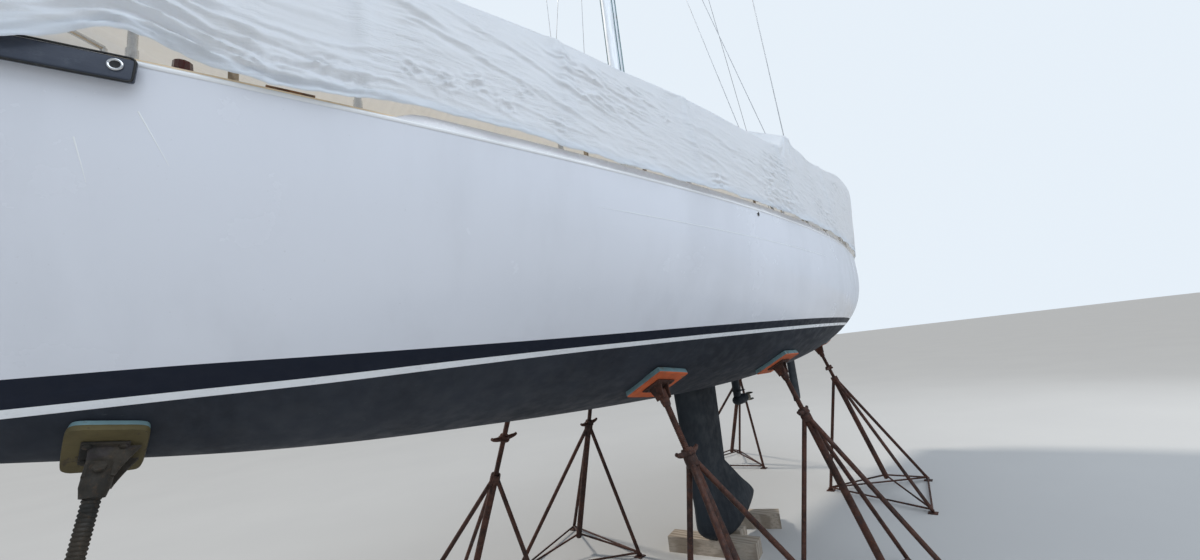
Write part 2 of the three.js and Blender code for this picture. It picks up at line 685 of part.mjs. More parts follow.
// Ridge poles on props that carry the cover along the middle. Columns: name, places of the two
// ends, places of the props
const POLES = [
  { name: 'cover_pole_fore', aft: 0.56, fore: 0.86, props: [0.58, 0.84] },
  { name: 'cover_pole_aft', aft: 0.12, fore: 0.5, props: [0.14, 0.48] },
];
const POLE = { radius: 24, propRadius: 20, underCover: COVER_THICKNESS + 24 };
const topUnder = (place) => (place > 0.34 && place < 0.8 ? roofTopAt(place) : deckTop(place, 0));
const onRidge = (place) => {
  const base = sheerHeight(place);
  const rise = tableValue(COVER_SECTIONS, 'ridge', place) - POLE.underCover;
  return at(lengthwise(place, base), 0, base + rise);
};
for (const pole of POLES) {
  const from = onRidge(pole.aft);
  const to = onRidge(pole.fore);
  const pieces = [bar(from, to, POLE.radius, 8)];
  for (const place of pole.props) {
    const x = onRidge(place).x;
    const top = from.clone().lerp(to, (x - from.x) / (to.x - from.x));
    pieces.push(bar(at(x, 0, topUnder(place) - 10), top, POLE.propRadius, 8));
  }
  const seated = cut(
    seatedOnDeck(unite(pieces)),
    shifted(coachroof, 0, 0, GAP),
    shifted(cover, 0, 0, -GAP),
  );
  addMesh(pole.name, seated, 'timber');
}

// Padded board hung outside the gunwale near the bow, its top edge level with the gunwale
const BOARD = { aft: 0.877, fore: 0.952, height: 80, thickness: 26, clearance: 5 };
const boardAft = gunwale(BOARD.aft, 1);
const boardAlong = gunwale(BOARD.fore, 1).sub(boardAft);
const boardOut = at(-boardAlong.y, boardAlong.x, 0).normalize();
const board = new THREE.BoxGeometry(boardAlong.length(), BOARD.thickness, BOARD.height);
board.applyQuaternion(new THREE.Quaternion().setFromUnitVectors(
  at(1, 0, 0),
  boardAlong.clone().normalize(),
));
const boardMiddle = boardAft.clone().addScaledVector(boardAlong, 0.5);
boardMiddle.addScaledVector(boardOut, BOARD.clearance + BOARD.thickness / 2);
board.translate(boardMiddle.x, boardMiddle.y, boardMiddle.z - BOARD.height / 2);
addMesh('fender_board', board, 'navy');

// Jack stands. Columns: name, place along the hull, how far round its section, side, how far
// forward and outboard of the pad the foot stands, turn of the base in degrees, share of the
// stand's length at the top of its tube
const STANDS = [
  { name: 'bow', place: 0.918, round: 0.78, side: 1, ahead: 340, out: 310, turn: 20, top: 0.29 },
  { name: 'fore_port', place: 0.66, round: 0.6, side: 1, ahead: 0, out: 640, turn: 27, top: 0.24 },
  { name: 'mid_port', place: 0.505, round: 0.52, side: 1, ahead: -60, out: 580, turn: 63, top: 0.23 },
  { name: 'stern_port', place: 0.23, round: 0.68, side: 1, ahead: -110, out: 530, turn: 36, top: 0.22 },
  { name: 'fore_starboard', place: 0.668, round: 0.62, side: -1, ahead: 0, out: 850, turn: 119, top: 0.35 },
  { name: 'mid_starboard', place: 0.54, round: 0.6, side: -1, ahead: -100, out: 550, turn: 105, top: 0.22 },
  { name: 'stern_starboard', place: 0.15, round: 0.68, side: -1, ahead: -400, out: 700, turn: 70, top: 0.25 },
];
const STAND = {
  padThickness: 36, padBedding: 4, plateThickness: 10, headDrop: 20, screwRadius: 20, sleeveRadius: 29,
  sleeveLength: 115, tubeRadius: 28, footRadius: 690, legRadius: 18, tieRadius: 10, footPlate: 90,
  footThickness: 8, handle: 120, handleRadius: 9, tieHeight: 30,
};
const PAD = { length: 300, width: 300, plateLength: 170, plateWidth: 150 };
const BOW_PAD = { length: 185, width: 200, plateLength: 110, plateWidth: 100 };

function alongNormal(geometry, normal, center) {
  const across = new THREE.Vector3().crossVectors(normal, at(1, 0, 0)).normalize();
  const ahead = new THREE.Vector3().crossVectors(across, normal);
  geometry.applyMatrix4(new THREE.Matrix4().makeBasis(ahead, across, normal));
  return geometry.translate(center.x, center.y, center.z);
}

for (const row of STANDS) {
  const touch = hullPoint(row.place, row.round, row.side);
  const normal = hullNormal(row.place, row.round, row.side);
  const onNormal = (distance) => touch.clone().addScaledVector(normal, distance);
  const size = row.name === 'bow' ? BOW_PAD : PAD;
  const pad = new THREE.BoxGeometry(size.length, size.width, STAND.padThickness);
  const padMiddle = onNormal(STAND.padThickness / 2 - STAND.padBedding);
  const shift = normal.clone().multiplyScalar(GAP);
  const padCut = cut(alongNormal(pad, normal, padMiddle), shifted(hullBody, shift.x, shift.y, shift.z));
  addMesh(`pad_${row.name}`, padCut, 'plywood');

  const plateStart = STAND.padThickness - STAND.padBedding + GAP;
  const plateMiddle = onNormal(plateStart + STAND.plateThickness / 2);
  const head = onNormal(plateStart + STAND.headDrop);
  const baseCenter = at(touch.x + row.ahead, touch.y + row.side * row.out, 0);
  const axis = baseCenter.clone().sub(head);
  const onAxis = (share) => head.clone().addScaledVector(axis, share);
  const collar = onAxis(row.top);
  const sleeveEnd = onAxis(STAND.sleeveLength / axis.length());
  const handleReach = at(STAND.handle, 0, 0);
  const plate = new THREE.BoxGeometry(size.plateLength, size.plateWidth, STAND.plateThickness);
  const pieces = [
    alongNormal(plate, normal, plateMiddle),
    bar(head, sleeveEnd, STAND.sleeveRadius, 8),
    bar(onNormal(plateStart + 6), collar, STAND.screwRadius, 8),
    bar(onAxis(row.top - 0.02), onAxis(0.9), STAND.tubeRadius, 8),
    bar(collar.clone().sub(handleReach), collar.clone().add(handleReach), STAND.handleRadius),
  ];
  const feet = [0, 1, 2].map((k) => {
    const angle = THREE.MathUtils.degToRad(row.turn + 120 * k);
    return at(
      baseCenter.x + STAND.footRadius * Math.cos(angle),
      baseCenter.y + STAND.footRadius * Math.sin(angle),
      STAND.footThickness,
    );
  });
  feet.forEach((foot, k) => {
    const next = feet[(k + 1) % feet.length];
    const rise = at(0, 0, STAND.tieHeight);
    pieces.push(bar(onAxis(row.top + 0.03), foot, STAND.legRadius));
    pieces.push(bar(foot.clone().add(rise), next.clone().add(rise), STAND.tieRadius));
    pieces.push(bar(onAxis(0.88), foot.clone().add(rise), STAND.tieRadius));
    const sole = new THREE.BoxGeometry(STAND.footPlate, STAND.footPlate, STAND.footThickness);
    pieces.push(sole.translate(foot.x, foot.y, STAND.footThickness / 2));
  });
  const ground = block(at(baseCenter.x, baseCenter.y, -100), 3000, 3000, 200);
  const overPad = shifted(padCut, shift.x, shift.y, shift.z);
  addMesh(`stand_${row.name}`, cut(unite(pieces), ground, overPad), 'rust');
}

// Keel timbers across the ship's line. Columns: name, place from the stern, shift to port, length,
// width and turn in degrees
const TIMBERS = [
  { name: 'keel_timber_fore', place: 4180, shift: -55, length: 860, width: 190, turn: 8.2 },
  { name: 'keel_timber_mid', place: 3880, shift: -20, length: 300, width: 150, turn: 0 },
  { name: 'keel_timber_aft', place: 3450, shift: -24, length: 700, width: 170, turn: 21.3 },
];
for (const row of TIMBERS) {
  const timber = new THREE.BoxGeometry(row.width, row.length, keelBottomZ - GAP);
  timber.rotateZ(THREE.MathUtils.degToRad(row.turn));
  timber.translate(row.place - LENGTH / 2, row.shift, (keelBottomZ - GAP) / 2);
  addMesh(row.name, timber, 'timber');
}

export default yacht;
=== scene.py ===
# Looks of a sailing yacht laid up ashore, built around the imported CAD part. Metres.
# X runs forward to the bow, Y to port, Z up. The ground is Z = 0.
import math

import bpy
import numpy as np
from mathutils import Matrix, Vector


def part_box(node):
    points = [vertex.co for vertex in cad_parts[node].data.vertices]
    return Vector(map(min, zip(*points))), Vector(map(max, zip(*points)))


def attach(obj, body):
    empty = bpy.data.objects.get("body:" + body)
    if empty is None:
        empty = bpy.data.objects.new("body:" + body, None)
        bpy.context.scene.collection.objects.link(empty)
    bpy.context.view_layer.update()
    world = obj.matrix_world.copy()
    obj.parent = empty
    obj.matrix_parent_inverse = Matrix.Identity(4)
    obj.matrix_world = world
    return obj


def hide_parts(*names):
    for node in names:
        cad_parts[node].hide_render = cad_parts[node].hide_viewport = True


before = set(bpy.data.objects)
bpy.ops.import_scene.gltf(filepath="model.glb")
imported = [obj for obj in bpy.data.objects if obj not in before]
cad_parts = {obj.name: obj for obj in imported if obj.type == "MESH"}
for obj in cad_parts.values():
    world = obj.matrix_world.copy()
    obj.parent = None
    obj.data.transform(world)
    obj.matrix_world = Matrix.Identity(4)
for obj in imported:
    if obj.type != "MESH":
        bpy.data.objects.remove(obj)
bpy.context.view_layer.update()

# Driving dimensions, the same as the CAD source's
LENGTH = 9.5
WATERLINE = 2.005
STEM_RAKE = 0.42
TRANSOM_RAKE = 0.23
DECK_THICKNESS = 0.022
RAIL_HEIGHT = 0.032
GUARDRAIL_HEIGHT = 0.59
GUARDRAIL_INSET = 0.072
MAST_X = 0.13
MAST_HEIGHT = 11.6
SEAT_GAP = 0.0003

UP = np.array([0, 0, 1.0])
SIDES = {"port": 1, "starboard": -1}

# Hull sections from stern to bow: place, half breadth, sheer over the waterline, body depth under
# it, exponents of the section curve across and down
HULL_SECTIONS = np.array([
    (0, 0.930, 0.965, 0.005, 2.2, 2.6),
    (0.12, 1.150, 0.880, 0.150, 2.2, 3.0),
    (0.25, 1.310, 0.818, 0.300, 2.1, 3.4),
    (0.375, 1.412, 0.786, 0.405, 2.0, 3.6),
    (0.5, 1.400, 0.784, 0.440, 2.0, 3.5),
    (0.625, 1.250, 0.816, 0.415, 1.9, 3.0),
    (0.75, 0.965, 0.876, 0.355, 1.7, 2.4),
    (0.875, 0.550, 0.970, 0.253, 1.8, 2.55),
    (1, 0.014, 1.094, 0.048, 1.7, 2.0),
])
BREADTH, SHEER, DEPTH, ACROSS, DOWN = 1, 2, 3, 4, 5

# Winter cover: place, rise of the hem, the shoulder and the ridge over the gunwale, inset of the
# shoulder, flare of the hem
COVER_SECTIONS = np.array([
    (0.004, 0.050, 0.930, 1.040, -0.140, 0.024),
    (0.06, 0.045, 0.980, 1.180, -0.130, 0.024),
    (0.16, 0.050, 0.980, 1.260, -0.085, 0.024),
    (0.2, 0.050, 0.970, 1.280, -0.065, 0.024),
    (0.25, 0.050, 0.940, 1.300, -0.040, 0.024),
    (0.3, 0.050, 0.880, 1.310, -0.015, 0.024),
    (0.34, 0.050, 0.820, 1.318, 0.005, 0.024),
    (0.38, 0.048, 0.770, 1.325, 0.024, 0.024),
    (0.42, 0.045, 0.745, 1.325, 0.032, 0.024),
    (0.45, 0.042, 0.745, 1.325, 0.034, 0.024),
    (0.5, 0.040, 0.660, 1.322, 0.034, 0.024),
    (0.56, 0.045, 0.640, 1.318, 0.034, 0.024),
    (0.62, 0.040, 0.640, 1.303, 0.034, 0.024),
    (0.68, 0.036, 0.648, 1.282, 0.034, 0.024),
    (0.72, 0.048, 0.658, 1.262, 0.034, 0.024),
    (0.79, 0.066, 0.673, 1.222, 0.034, 0.024),
    (0.813, 0.054, 0.680, 1.202, 0.034, 0.024),
    (0.834, 0.017, 0.687, 1.188, 0.034, 0.024),
    (0.86, 0.024, 0.694, 1.165, 0.034, 0.022),
    (0.872, 0.062, 0.700, 1.150, 0.034, 0.024),
    (0.884, 0.074, 0.704, 1.126, 0.034, 0.034),
    (0.905, -0.030, 0.715, 1.070, 0.034, 0.046),
    (0.94, -0.045, 0.735, 0.950, 0.034, 0.052),
    (0.985, 0.000, 0.740, 0.790, 0.034, 0.030),
])
HEM, SHOULDER, RIDGE, INSET, FLARE = 1, 2, 3, 4, 5


def table_value(rows, column, place):
    """One column of a table on a smooth curve through its rows, at an array of places."""
    place = np.asarray(place, float)
    places, values = rows[:, 0], rows[:, column]
    k = np.clip(np.searchsorted(places, place, side="left") - 1, 0, len(places) - 2)
    low = np.maximum(np.arange(len(places)) - 1, 0)
    high = np.minimum(np.arange(len(places)) + 1, len(places) - 1)
    slope = (values[high] - values[low]) / (places[high] - places[low])
    span = places[k + 1] - places[k]
    s = np.clip((place - places[k]) / span, 0, 1)
    rise = s * s * (3 - 2 * s)
    bent = slope[k] * s * (1 - s) ** 2 + slope[k + 1] * s * s * (s - 1)
    return values[k] * (1 - rise) + values[k + 1] * rise + span * bent


def hull_value(column, place):
    return table_value(HULL_SECTIONS, column, place)


def sheer_height(place):
    return WATERLINE + hull_value(SHEER, place)


STEM_TOP = float(sheer_height(1))
STEM_FOOT = WATERLINE - float(hull_value(DEPTH, 1))
STERN_TOP = float(sheer_height(0))


def lengthwise(place, height):
    stem = LENGTH / 2 - STEM_RAKE * (STEM_TOP - height) / (STEM_TOP - STEM_FOOT)
    drop = (STERN_TOP - height) / (STERN_TOP - WATERLINE)
    transom = -LENGTH / 2 + TRANSOM_RAKE * (1 - drop)
    return transom + (stem - transom) * place


def hull_point(place, around, side=1):
    """A point of the hull's skin. Around goes from 0 at the gunwale to 1 at the bottom's middle."""
    place, around = np.broadcast_arrays(np.asarray(place, float), np.asarray(around, float))
    angle = around * math.pi / 2
    top = sheer_height(place)
    height = top - WATERLINE + hull_value(DEPTH, place)
    y = hull_value(BREADTH, place) * np.clip(np.cos(angle), 0, 1) ** (2 / hull_value(ACROSS, place))
    z = top - height * np.clip(np.sin(angle), 0, 1) ** (2 / hull_value(DOWN, place))
    return np.stack([lengthwise(place, z), side * y, z], axis=-1)


def around_at(place, z):
    top = sheer_height(place)
    height = top - WATERLINE + hull_value(DEPTH, place)
    share = np.clip((top - z) / height, 0, 1)
    return np.arcsin(share ** (hull_value(DOWN, place) / 2)) / (math.pi / 2)


def hull_normal(place, around, side):
    step = 0.01
    along = hull_point(place + step, around, side) - hull_point(place - step, around, side)
    down = hull_point(place, around + step, side) - hull_point(place, around - step, side)
    normal = np.cross(along, down)
    normal /= np.linalg.norm(normal)
    return normal if normal[2] < 0 else -normal


def gunwale(place, side=1, inset=0.0, rise=0.0):
    place = np.asarray(place, float)
    top = sheer_height(place)
    y = np.maximum(hull_value(BREADTH, place) - inset, 0.001)
    return np.stack([lengthwise(place, top), side * y, top + rise], axis=-1)


def place_of(x):
    """The place along the gunwale that lies at x."""
    places = np.linspace(0, 1, 2001)
    return np.interp(x, lengthwise(places, sheer_height(places)), places)


# Noise on arrays of points in a plane, for cloth and worn edges
HASH_FACTORS = (374761393, 668265263, 1274126177)


def lattice(ix, iy, seed):
    """A direction at each whole point of the plane, the same in every run."""
    along, across, last = HASH_FACTORS
    mixed = (ix * along + iy * across + seed * last) & 0xFFFFFFFF
    mixed = ((mixed ^ (mixed >> 13)) * last) & 0xFFFFFFFF
    return ((mixed ^ (mixed >> 16)) & 0xFFFF) / 65535.0 * 2 * math.pi


def noise(x, y, seed=0):
    """Smooth noise from about -1 to 1."""
    x, y = np.broadcast_arrays(np.asarray(x, float), np.asarray(y, float))
    ix, iy = np.floor(x).astype(np.int64), np.floor(y).astype(np.int64)
    fx, fy = x - ix, y - iy
    u = fx ** 3 * (fx * (fx * 6 - 15) + 10)
    v = fy ** 3 * (fy * (fy * 6 - 15) + 10)

    def corner(dx, dy):
        turn = lattice(ix + dx, iy + dy, seed)
        return np.cos(turn) * (fx - dx) + np.sin(turn) * (fy - dy)

    low = corner(0, 0) * (1 - u) + corner(1, 0) * u
    high = corner(0, 1) * (1 - u) + corner(1, 1) * u
    return (low * (1 - v) + high * v) * 1.5


def layered(x, y, seed, layers=3, gain=0.5):
    total, size, scale = 0, 1.0, 1.0
    for k in range(layers):
        total = total + size * noise(x * scale, y * scale, seed + 17 * k)
        size, scale = size * gain, scale * 2.03
    return total


def ridged(x, y, seed, layers=3, gain=0.55):
    """Sharp crests on soft ground, from 0 to about 1."""
    total, size, scale, whole = 0, 1.0, 1.0, 0.0
    for k in range(layers):
        crest = 1 - np.minimum(np.abs(noise(x * scale, y * scale, seed + 31 * k)) * 1.6, 1)
        total = total + size * crest * crest
        whole += size
        size, scale = size * gain, scale * 1.93
    return total / whole


def smooth_step(low, high, value):
    s = np.clip((np.asarray(value, float) - low) / (high - low), 0, 1)
    return s * s * (3 - 2 * s)


# Mesh building
class Shape:
    """Points and faces of one piece, gathered part by part, with a material number a face."""

    def __init__(self):
        self.points, self.faces, self.looks = [], {4: [], 3: []}, {4: [], 3: []}
        self.count = 0

    def add(self, points, faces, look=0):
        points = np.asarray(points, float).reshape(-1, 3)
        corners = faces.shape[1]
        self.faces[corners].append(faces + self.count)
        self.looks[corners].append(np.broadcast_to(np.asarray(look).reshape(-1), (len(faces),)))
        self.points.append(points)
        self.count += len(points)

    def grid(self, points, look=0, wrap=False, flip=False):
        """A net of rows and columns of points."""
        rows, columns = points.shape[:2]
        index = np.arange(rows * columns).reshape(rows, columns)
        if wrap:
            index = np.concatenate([index, index[:, :1]], axis=1)
        corners = [index[:-1, :-1], index[:-1, 1:], index[1:, 1:], index[1:, :-1]]
        faces = np.stack(corners[::-1] if flip else corners, axis=-1)
        self.add(points, faces.reshape(-1, 4), look)

    def fan(self, ring, center, look=0, flip=False):
        """A cap of triangles from a ring to its middle."""
        turn = np.arange(len(ring))
        faces = np.stack([turn, (turn + 1) % len(ring), np.full(len(ring), len(ring))], axis=-1)
        self.add(np.vstack([ring, [center]]), faces[:, ::-1] if flip else faces, look)

    def mesh(self, name, materials):
        points = np.vstack(self.points)
        faces = [np.vstack(rows) for rows in self.faces.values() if rows]
        corners = np.concatenate([rows.ravel() for rows in faces])
        sizes = np.concatenate([np.full(len(rows), rows.shape[1]) for rows in faces])
        starts = np.cumsum(sizes) - sizes
        looks = np.concatenate(self.looks[4] + self.looks[3])
        mesh = bpy.data.meshes.new(name)
        mesh.vertices.add(len(points))
        mesh.vertices.foreach_set("co", points.astype(np.float32).ravel())
        mesh.loops.add(len(corners))
        mesh.loops.foreach_set("vertex_index", corners.astype(np.int32))
        mesh.polygons.add(len(starts))
        mesh.polygons.foreach_set("loop_start", starts.astype(np.int32))
        mesh.polygons.foreach_set("material_index", looks.astype(np.int32))
        for material in materials:
            mesh.materials.append(material)
        mesh.update(calc_edges=True)
        mesh.validate()
        return mesh


def add_object(name, data):
    thing = bpy.data.objects.new(name, data)
    bpy.context.scene.collection.objects.link(thing)
    return thing


def add_piece(name, shape, materials, nodes=(), body="root", angle=40):
    """A piece of the object, smooth across edges flatter than the angle, in place of CAD nodes."""
    mesh = shape.mesh(name, materials)
    mesh.polygons.foreach_set("use_smooth", np.ones(len(mesh.polygons), bool))
    mesh.set_sharp_from_angle(angle=math.radians(angle))
    piece = add_object(name, mesh)
    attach(piece, body)
    if nodes:
        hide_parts(*nodes)
    return piece


def unit(vector):
    vector = np.asarray(vector, float)
    return vector / np.linalg.norm(vector)


def full_turn(count):
    return np.arange(count) / count * 2 * math.pi


def cross_frame(axis, hint=UP):
    """Two directions square to the axis and to each other."""
    axis = unit(axis)
    if abs(np.dot(axis, hint)) > 0.95:
        hint = (1.0, 0, 0)
    first = unit(np.cross(hint, axis))
    return first, np.cross(axis, first)


def tube(shape, path, radius, sides=12, look=0, caps=True, flat=1.0, hint=UP):
    """A round bar along a path. Radius is one number or one for each point of the path."""
    path = np.asarray(path, float)
    radius = np.broadcast_to(np.asarray(radius, float), (len(path),))
    runs = np.gradient(path, axis=0)
    runs /= np.linalg.norm(runs, axis=1)[:, None]
    first, _ = cross_frame(runs[0], hint)
    turn = full_turn(sides)
    rings = []
    for point, run, size in zip(path, runs, radius):
        first = unit(first - run * np.dot(first, run))
        second = np.cross(run, first)
        circle = np.cos(turn)[:, None] * first + np.sin(turn)[:, None] * second * flat
        rings.append(point + size * circle)
    rings = np.array(rings)
    shape.grid(rings, look, wrap=True)
    if caps:
        shape.fan(rings[0], path[0], look, flip=True)
        shape.fan(rings[-1], path[-1], look)


def lathe(shape, profile, origin, axis=UP, sides=20, look=0):
    """A turned form. Profile rows are distance along the axis and radius."""
    axis = unit(axis)
    first, second = cross_frame(axis)
    turn = full_turn(sides)
    circle = np.cos(turn)[:, None] * first + np.sin(turn)[:, None] * second
    rings = np.array([np.asarray(origin) + axis * a + circle * max(r, 1e-5) for a, r in profile])
    shape.grid(rings, look, wrap=True)


def block(shape, center, size, axes=None, radius=0.004, look=0, steps=2):
    """A block with rounded edges. Axes are its three directions."""
    axes = np.eye(3) if axes is None else np.array([unit(a) for a in axes])
    half = np.asarray(size, float) / 2
    radius = min(radius, half.min() * 0.98)
    turn = np.linspace(0, 1, steps + 1)
    low = -1 + turn
    values = np.concatenate([low, -low[::-1]])
    signs = np.concatenate([-np.ones(steps + 1), np.ones(steps + 1)])
    for axis in range(3):
        u, v = (axis + 1) % 3, (axis + 2) % 3
        for sign in (-1, 1):
            a, b = np.meshgrid(values, values, indexing="ij")
            sa, sb = np.meshgrid(signs, signs, indexing="ij")
            aim = np.zeros(a.shape + (3,))
            aim[..., axis] = sign
            aim[..., u] = np.tan(a * math.pi / 4)
            aim[..., v] = np.tan(b * math.pi / 4)
            aim /= np.linalg.norm(aim, axis=-1)[..., None]
            core = np.zeros_like(aim)
            core[..., axis] = sign * (half[axis] - radius)
            core[..., u] = sa * (half[u] - radius)
            core[..., v] = sb * (half[v] - radius)
            points = core + radius * aim
            shape.grid(np.asarray(center) + points @ axes, look, flip=sign < 0)


def smooth_path(points, steps=6):
    """A curve through the points."""
    points = np.asarray(points, float)
    padded = np.vstack([2 * points[0] - points[1], points, 2 * points[-1] - points[-2]])
    out = []
    for k in range(1, len(padded) - 2):
        a, b, c, d = padded[k - 1:k + 3]
        for s in np.linspace(0, 1, steps, endpoint=False):
            out.append(0.5 * (2 * b + (c - a) * s + (2 * a - 5 * b + 4 * c - d) * s * s
                              + (3 * b - a - 3 * c + d) * s ** 3))
    out.append(points[-1])
    return np.array(out)


def rounded_path(points, radius, steps=5):
    """Straight runs joined by bends of a radius."""
    points = np.asarray(points, float)
    out = [points[0]]
    for before, corner, after in zip(points[:-2], points[1:-1], points[2:]):
        reach = min(radius, np.linalg.norm(before - corner) * 0.45, np.linalg.norm(after - corner) * 0.45)
        start = corner + unit(before - corner) * reach
        end = corner + unit(after - corner) * reach
        for s in np.linspace(0, 1, steps):
            out.append((1 - s) ** 2 * start + 2 * s * (1 - s) * corner + s * s * end)
    out.append(points[-1])
    return np.array(out)


# Materials
def screen(red, green, blue):
    """The linear colour of a colour as it shows on a screen, from 0 to 255."""
    def channel(value):
        value /= 255
        return value / 12.92 if value <= 0.04045 else ((value + 0.055) / 1.055) ** 2.4
    return (channel(red), channel(green), channel(blue), 1.0)


def darker(color, share):
    return tuple(c * share for c in color[:3]) + (1,)


class Look:
    """A procedural material, built node by node. Textures lie in the piece's own frame."""

    def __init__(self, name):
        self.material = bpy.data.materials.new(name)
        self.material.use_nodes = True
        self.tree = self.material.node_tree
        self.shader = self.tree.nodes["Principled BSDF"]
        self.coords = self.tree.nodes.new("ShaderNodeTexCoord").outputs["Object"]

    def put(self, socket, value):
        if isinstance(value, bpy.types.NodeSocket):
            self.tree.links.new(value, socket)
        else:
            socket.default_value = value

    def set(self, **values):
        for name, value in values.items():
            self.put(self.shader.inputs[name.replace("_", " ")], value)

    def node(self, kind, output, inputs, **settings):
        """One output of a new node, whose sockets take links or constants."""
        node = self.tree.nodes.new("ShaderNode" + kind)
        for name, value in settings.items():
            setattr(node, name, value)
        for socket, value in inputs.items():
            self.put(node.inputs[socket], value)
        return node.outputs[output]

    def stretched(self, stretch):
        if stretch is None:
            return self.coords
        return self.node("Mapping", "Vector", {"Vector": self.coords, "Scale": stretch})

    def noise(self, scale, detail=4, roughness=0.55, stretch=None, distortion=0):
        return self.node("TexNoise", "Fac", {
            "Vector": self.stretched(stretch), "Scale": scale, "Detail": detail, "Roughness": roughness,
            "Distortion": distortion,
        })

    def cells(self, scale):
        return self.node("TexVoronoi", "Distance", {"Vector": self.coords, "Scale": scale})

    def wave(self, scale, direction, distortion=0, detail=2, stretch=None):
        return self.node("TexWave", "Fac", {
            "Vector": self.stretched(stretch), "Scale": scale, "Distortion": distortion, "Detail": detail,
        }, bands_direction=direction)

    def mix(self, share, low, high):
        return self.node("Mix", 2, {0: share, 6: low, 7: high}, data_type="RGBA")

    def math(self, operation, a, b=0.0):
        return self.node("Math", 0, {0: a, 1: b}, operation=operation)

    def span(self, value, low, high, to_low=0.0, to_high=1.0):
        return self.node("MapRange", "Result", {
            "Value": value, "From Min": low, "From Max": high, "To Min": to_low, "To Max": to_high,
        }, interpolation_type="SMOOTHSTEP")

    def bump(self, height, strength=0.5, distance=0.002, normal=None):
        inputs = {"Strength": strength, "Distance": distance, "Height": height}
        if normal is not None:
            inputs["Normal"] = normal
        return self.node("Bump", "Normal", inputs)


def white_gelcoat(name, tint, gloss=0.16):
    look = Look(name)
    streak = look.noise(2.2, 5, stretch=(1.4, 1.4, 0.28))
    cloud = look.noise(0.9, 3)
    dull = darker(tint, 0.93)
    color = look.mix(look.span(streak, 0.42, 0.72), tint, dull)
    color = look.mix(look.span(cloud, 0.35, 0.75, 0.0, 0.35), color, dull)
    specks = look.span(look.noise(85, 2), 0.72, 0.8)
    color = look.mix(look.math("MULTIPLY", specks, 0.16), color, screen(150, 150, 148))
    look.set(
        Base_Color=color,
        Roughness=look.span(look.noise(3.5, 6), 0.3, 0.75, gloss, gloss + 0.14),
        Coat_Weight=0.25,
        Coat_Roughness=0.08,
        Normal=look.bump(look.noise(7, 2), 0.12, 0.004, look.bump(look.noise(240, 2), 0.05, 0.0004)),
    )
    return look.material


def painted_stripe(name, color, worn, shine=0.5, gloss=0.2):
    look = Look(name)
    patches = look.span(look.noise(14, 6, 0.7, stretch=(0.5, 0.5, 2)), 0.5, 0.75)
    look.set(
        Base_Color=look.mix(look.math("MULTIPLY", patches, 0.35), color, worn),
        Roughness=look.span(look.noise(22, 4), 0.3, 0.7, gloss, gloss + 0.2),
        Specular_IOR_Level=shine,
        Normal=look.bump(look.noise(60, 3), 0.1, 0.001),
    )
    return look.material


def bottom_paint(name, dark, light):
    look = Look(name)
    roller = look.noise(9, 5, 0.6, stretch=(2.2, 2.2, 0.45))
    cloud = look.noise(1.6, 4)
    scuffs = look.span(look.noise(26, 8, 0.75, stretch=(0.35, 1, 1.6)), 0.62, 0.74)
    color = look.mix(look.span(cloud, 0.32, 0.7), dark, light)
    color = look.mix(look.span(roller, 0.38, 0.72, 0, 0.55), color, light)
    color = look.mix(look.math("MULTIPLY", scuffs, 0.3), color, screen(112, 116, 118))
    grain = look.math("ADD", look.noise(130, 4, 0.7), look.math("MULTIPLY", roller, 1.5))
    look.set(
        Base_Color=color,
        Roughness=look.span(look.noise(12, 5), 0.3, 0.7, 0.58, 0.82),
        Specular_IOR_Level=0.22,
        Normal=look.bump(grain, 0.35, 0.0016),
    )
    return look.material


# Share of the translucent shader in the cover's cloth
CLOTH_GLOW = 0.28


def cover_cloth(name, light, shade, shine):
    look = Look(name)
    soil = look.span(look.noise(5, 7, 0.65, stretch=(0.55, 0.55, 1.5)), 0.48, 0.78, 0, 0.6)
    color = look.mix(soil, light, shade)
    fine = look.span(look.noise(60, 5, 0.7), 0.5, 0.8, 0, 0.2)
    color = look.mix(fine, color, darker(shade, 0.86))
    along = look.noise(24, 4, 0.55, (0.22, 0.22, 1.5), 0.5)
    small = look.noise(52, 3, 0.55, (0.4, 0.4, 1.2), 0.6)
    along, small = (look.math("ABSOLUTE", look.math("SUBTRACT", value, 0.5)) for value in (along, small))
    where = look.span(look.noise(2.6, 3), 0.42, 0.62, 0.15, 1)
    weave = look.math("ADD", look.wave(260, "X"), look.wave(260, "Z"))
    normal = look.bump(weave, 0.10, 0.0003)
    normal = look.bump(look.math("MULTIPLY", small, where), 0.5, 0.006, normal)
    normal = look.bump(look.math("MULTIPLY", along, where), 0.6, 0.014, normal)
    look.set(Base_Color=color, Roughness=0.44, Specular_IOR_Level=0.45, Normal=normal)
    glow = look.node("BsdfTranslucent", 0, {"Color": shine, "Normal": normal})
    blend = look.node("MixShader", 0, {0: CLOTH_GLOW, 1: look.shader.outputs[0], 2: glow})
    look.put(look.tree.nodes["Material Output"].inputs["Surface"], blend)
    return look.material


def bare_metal(name, color, gloss, spread=0.14, metal=1.0, stretch=(1, 1, 1)):
    look = Look(name)
    smear = look.noise(18, 5, 0.6, stretch=stretch)
    dull = darker(color, 0.72)
    look.set(
        Base_Color=look.mix(look.span(smear, 0.4, 0.75), color, dull),
        Metallic=metal,
        Roughness=look.span(look.noise(40, 5, 0.6, stretch=stretch), 0.3, 0.75, gloss, gloss + spread),
        Normal=look.bump(look.noise(160, 3), 0.08, 0.0004),
    )
    return look.material


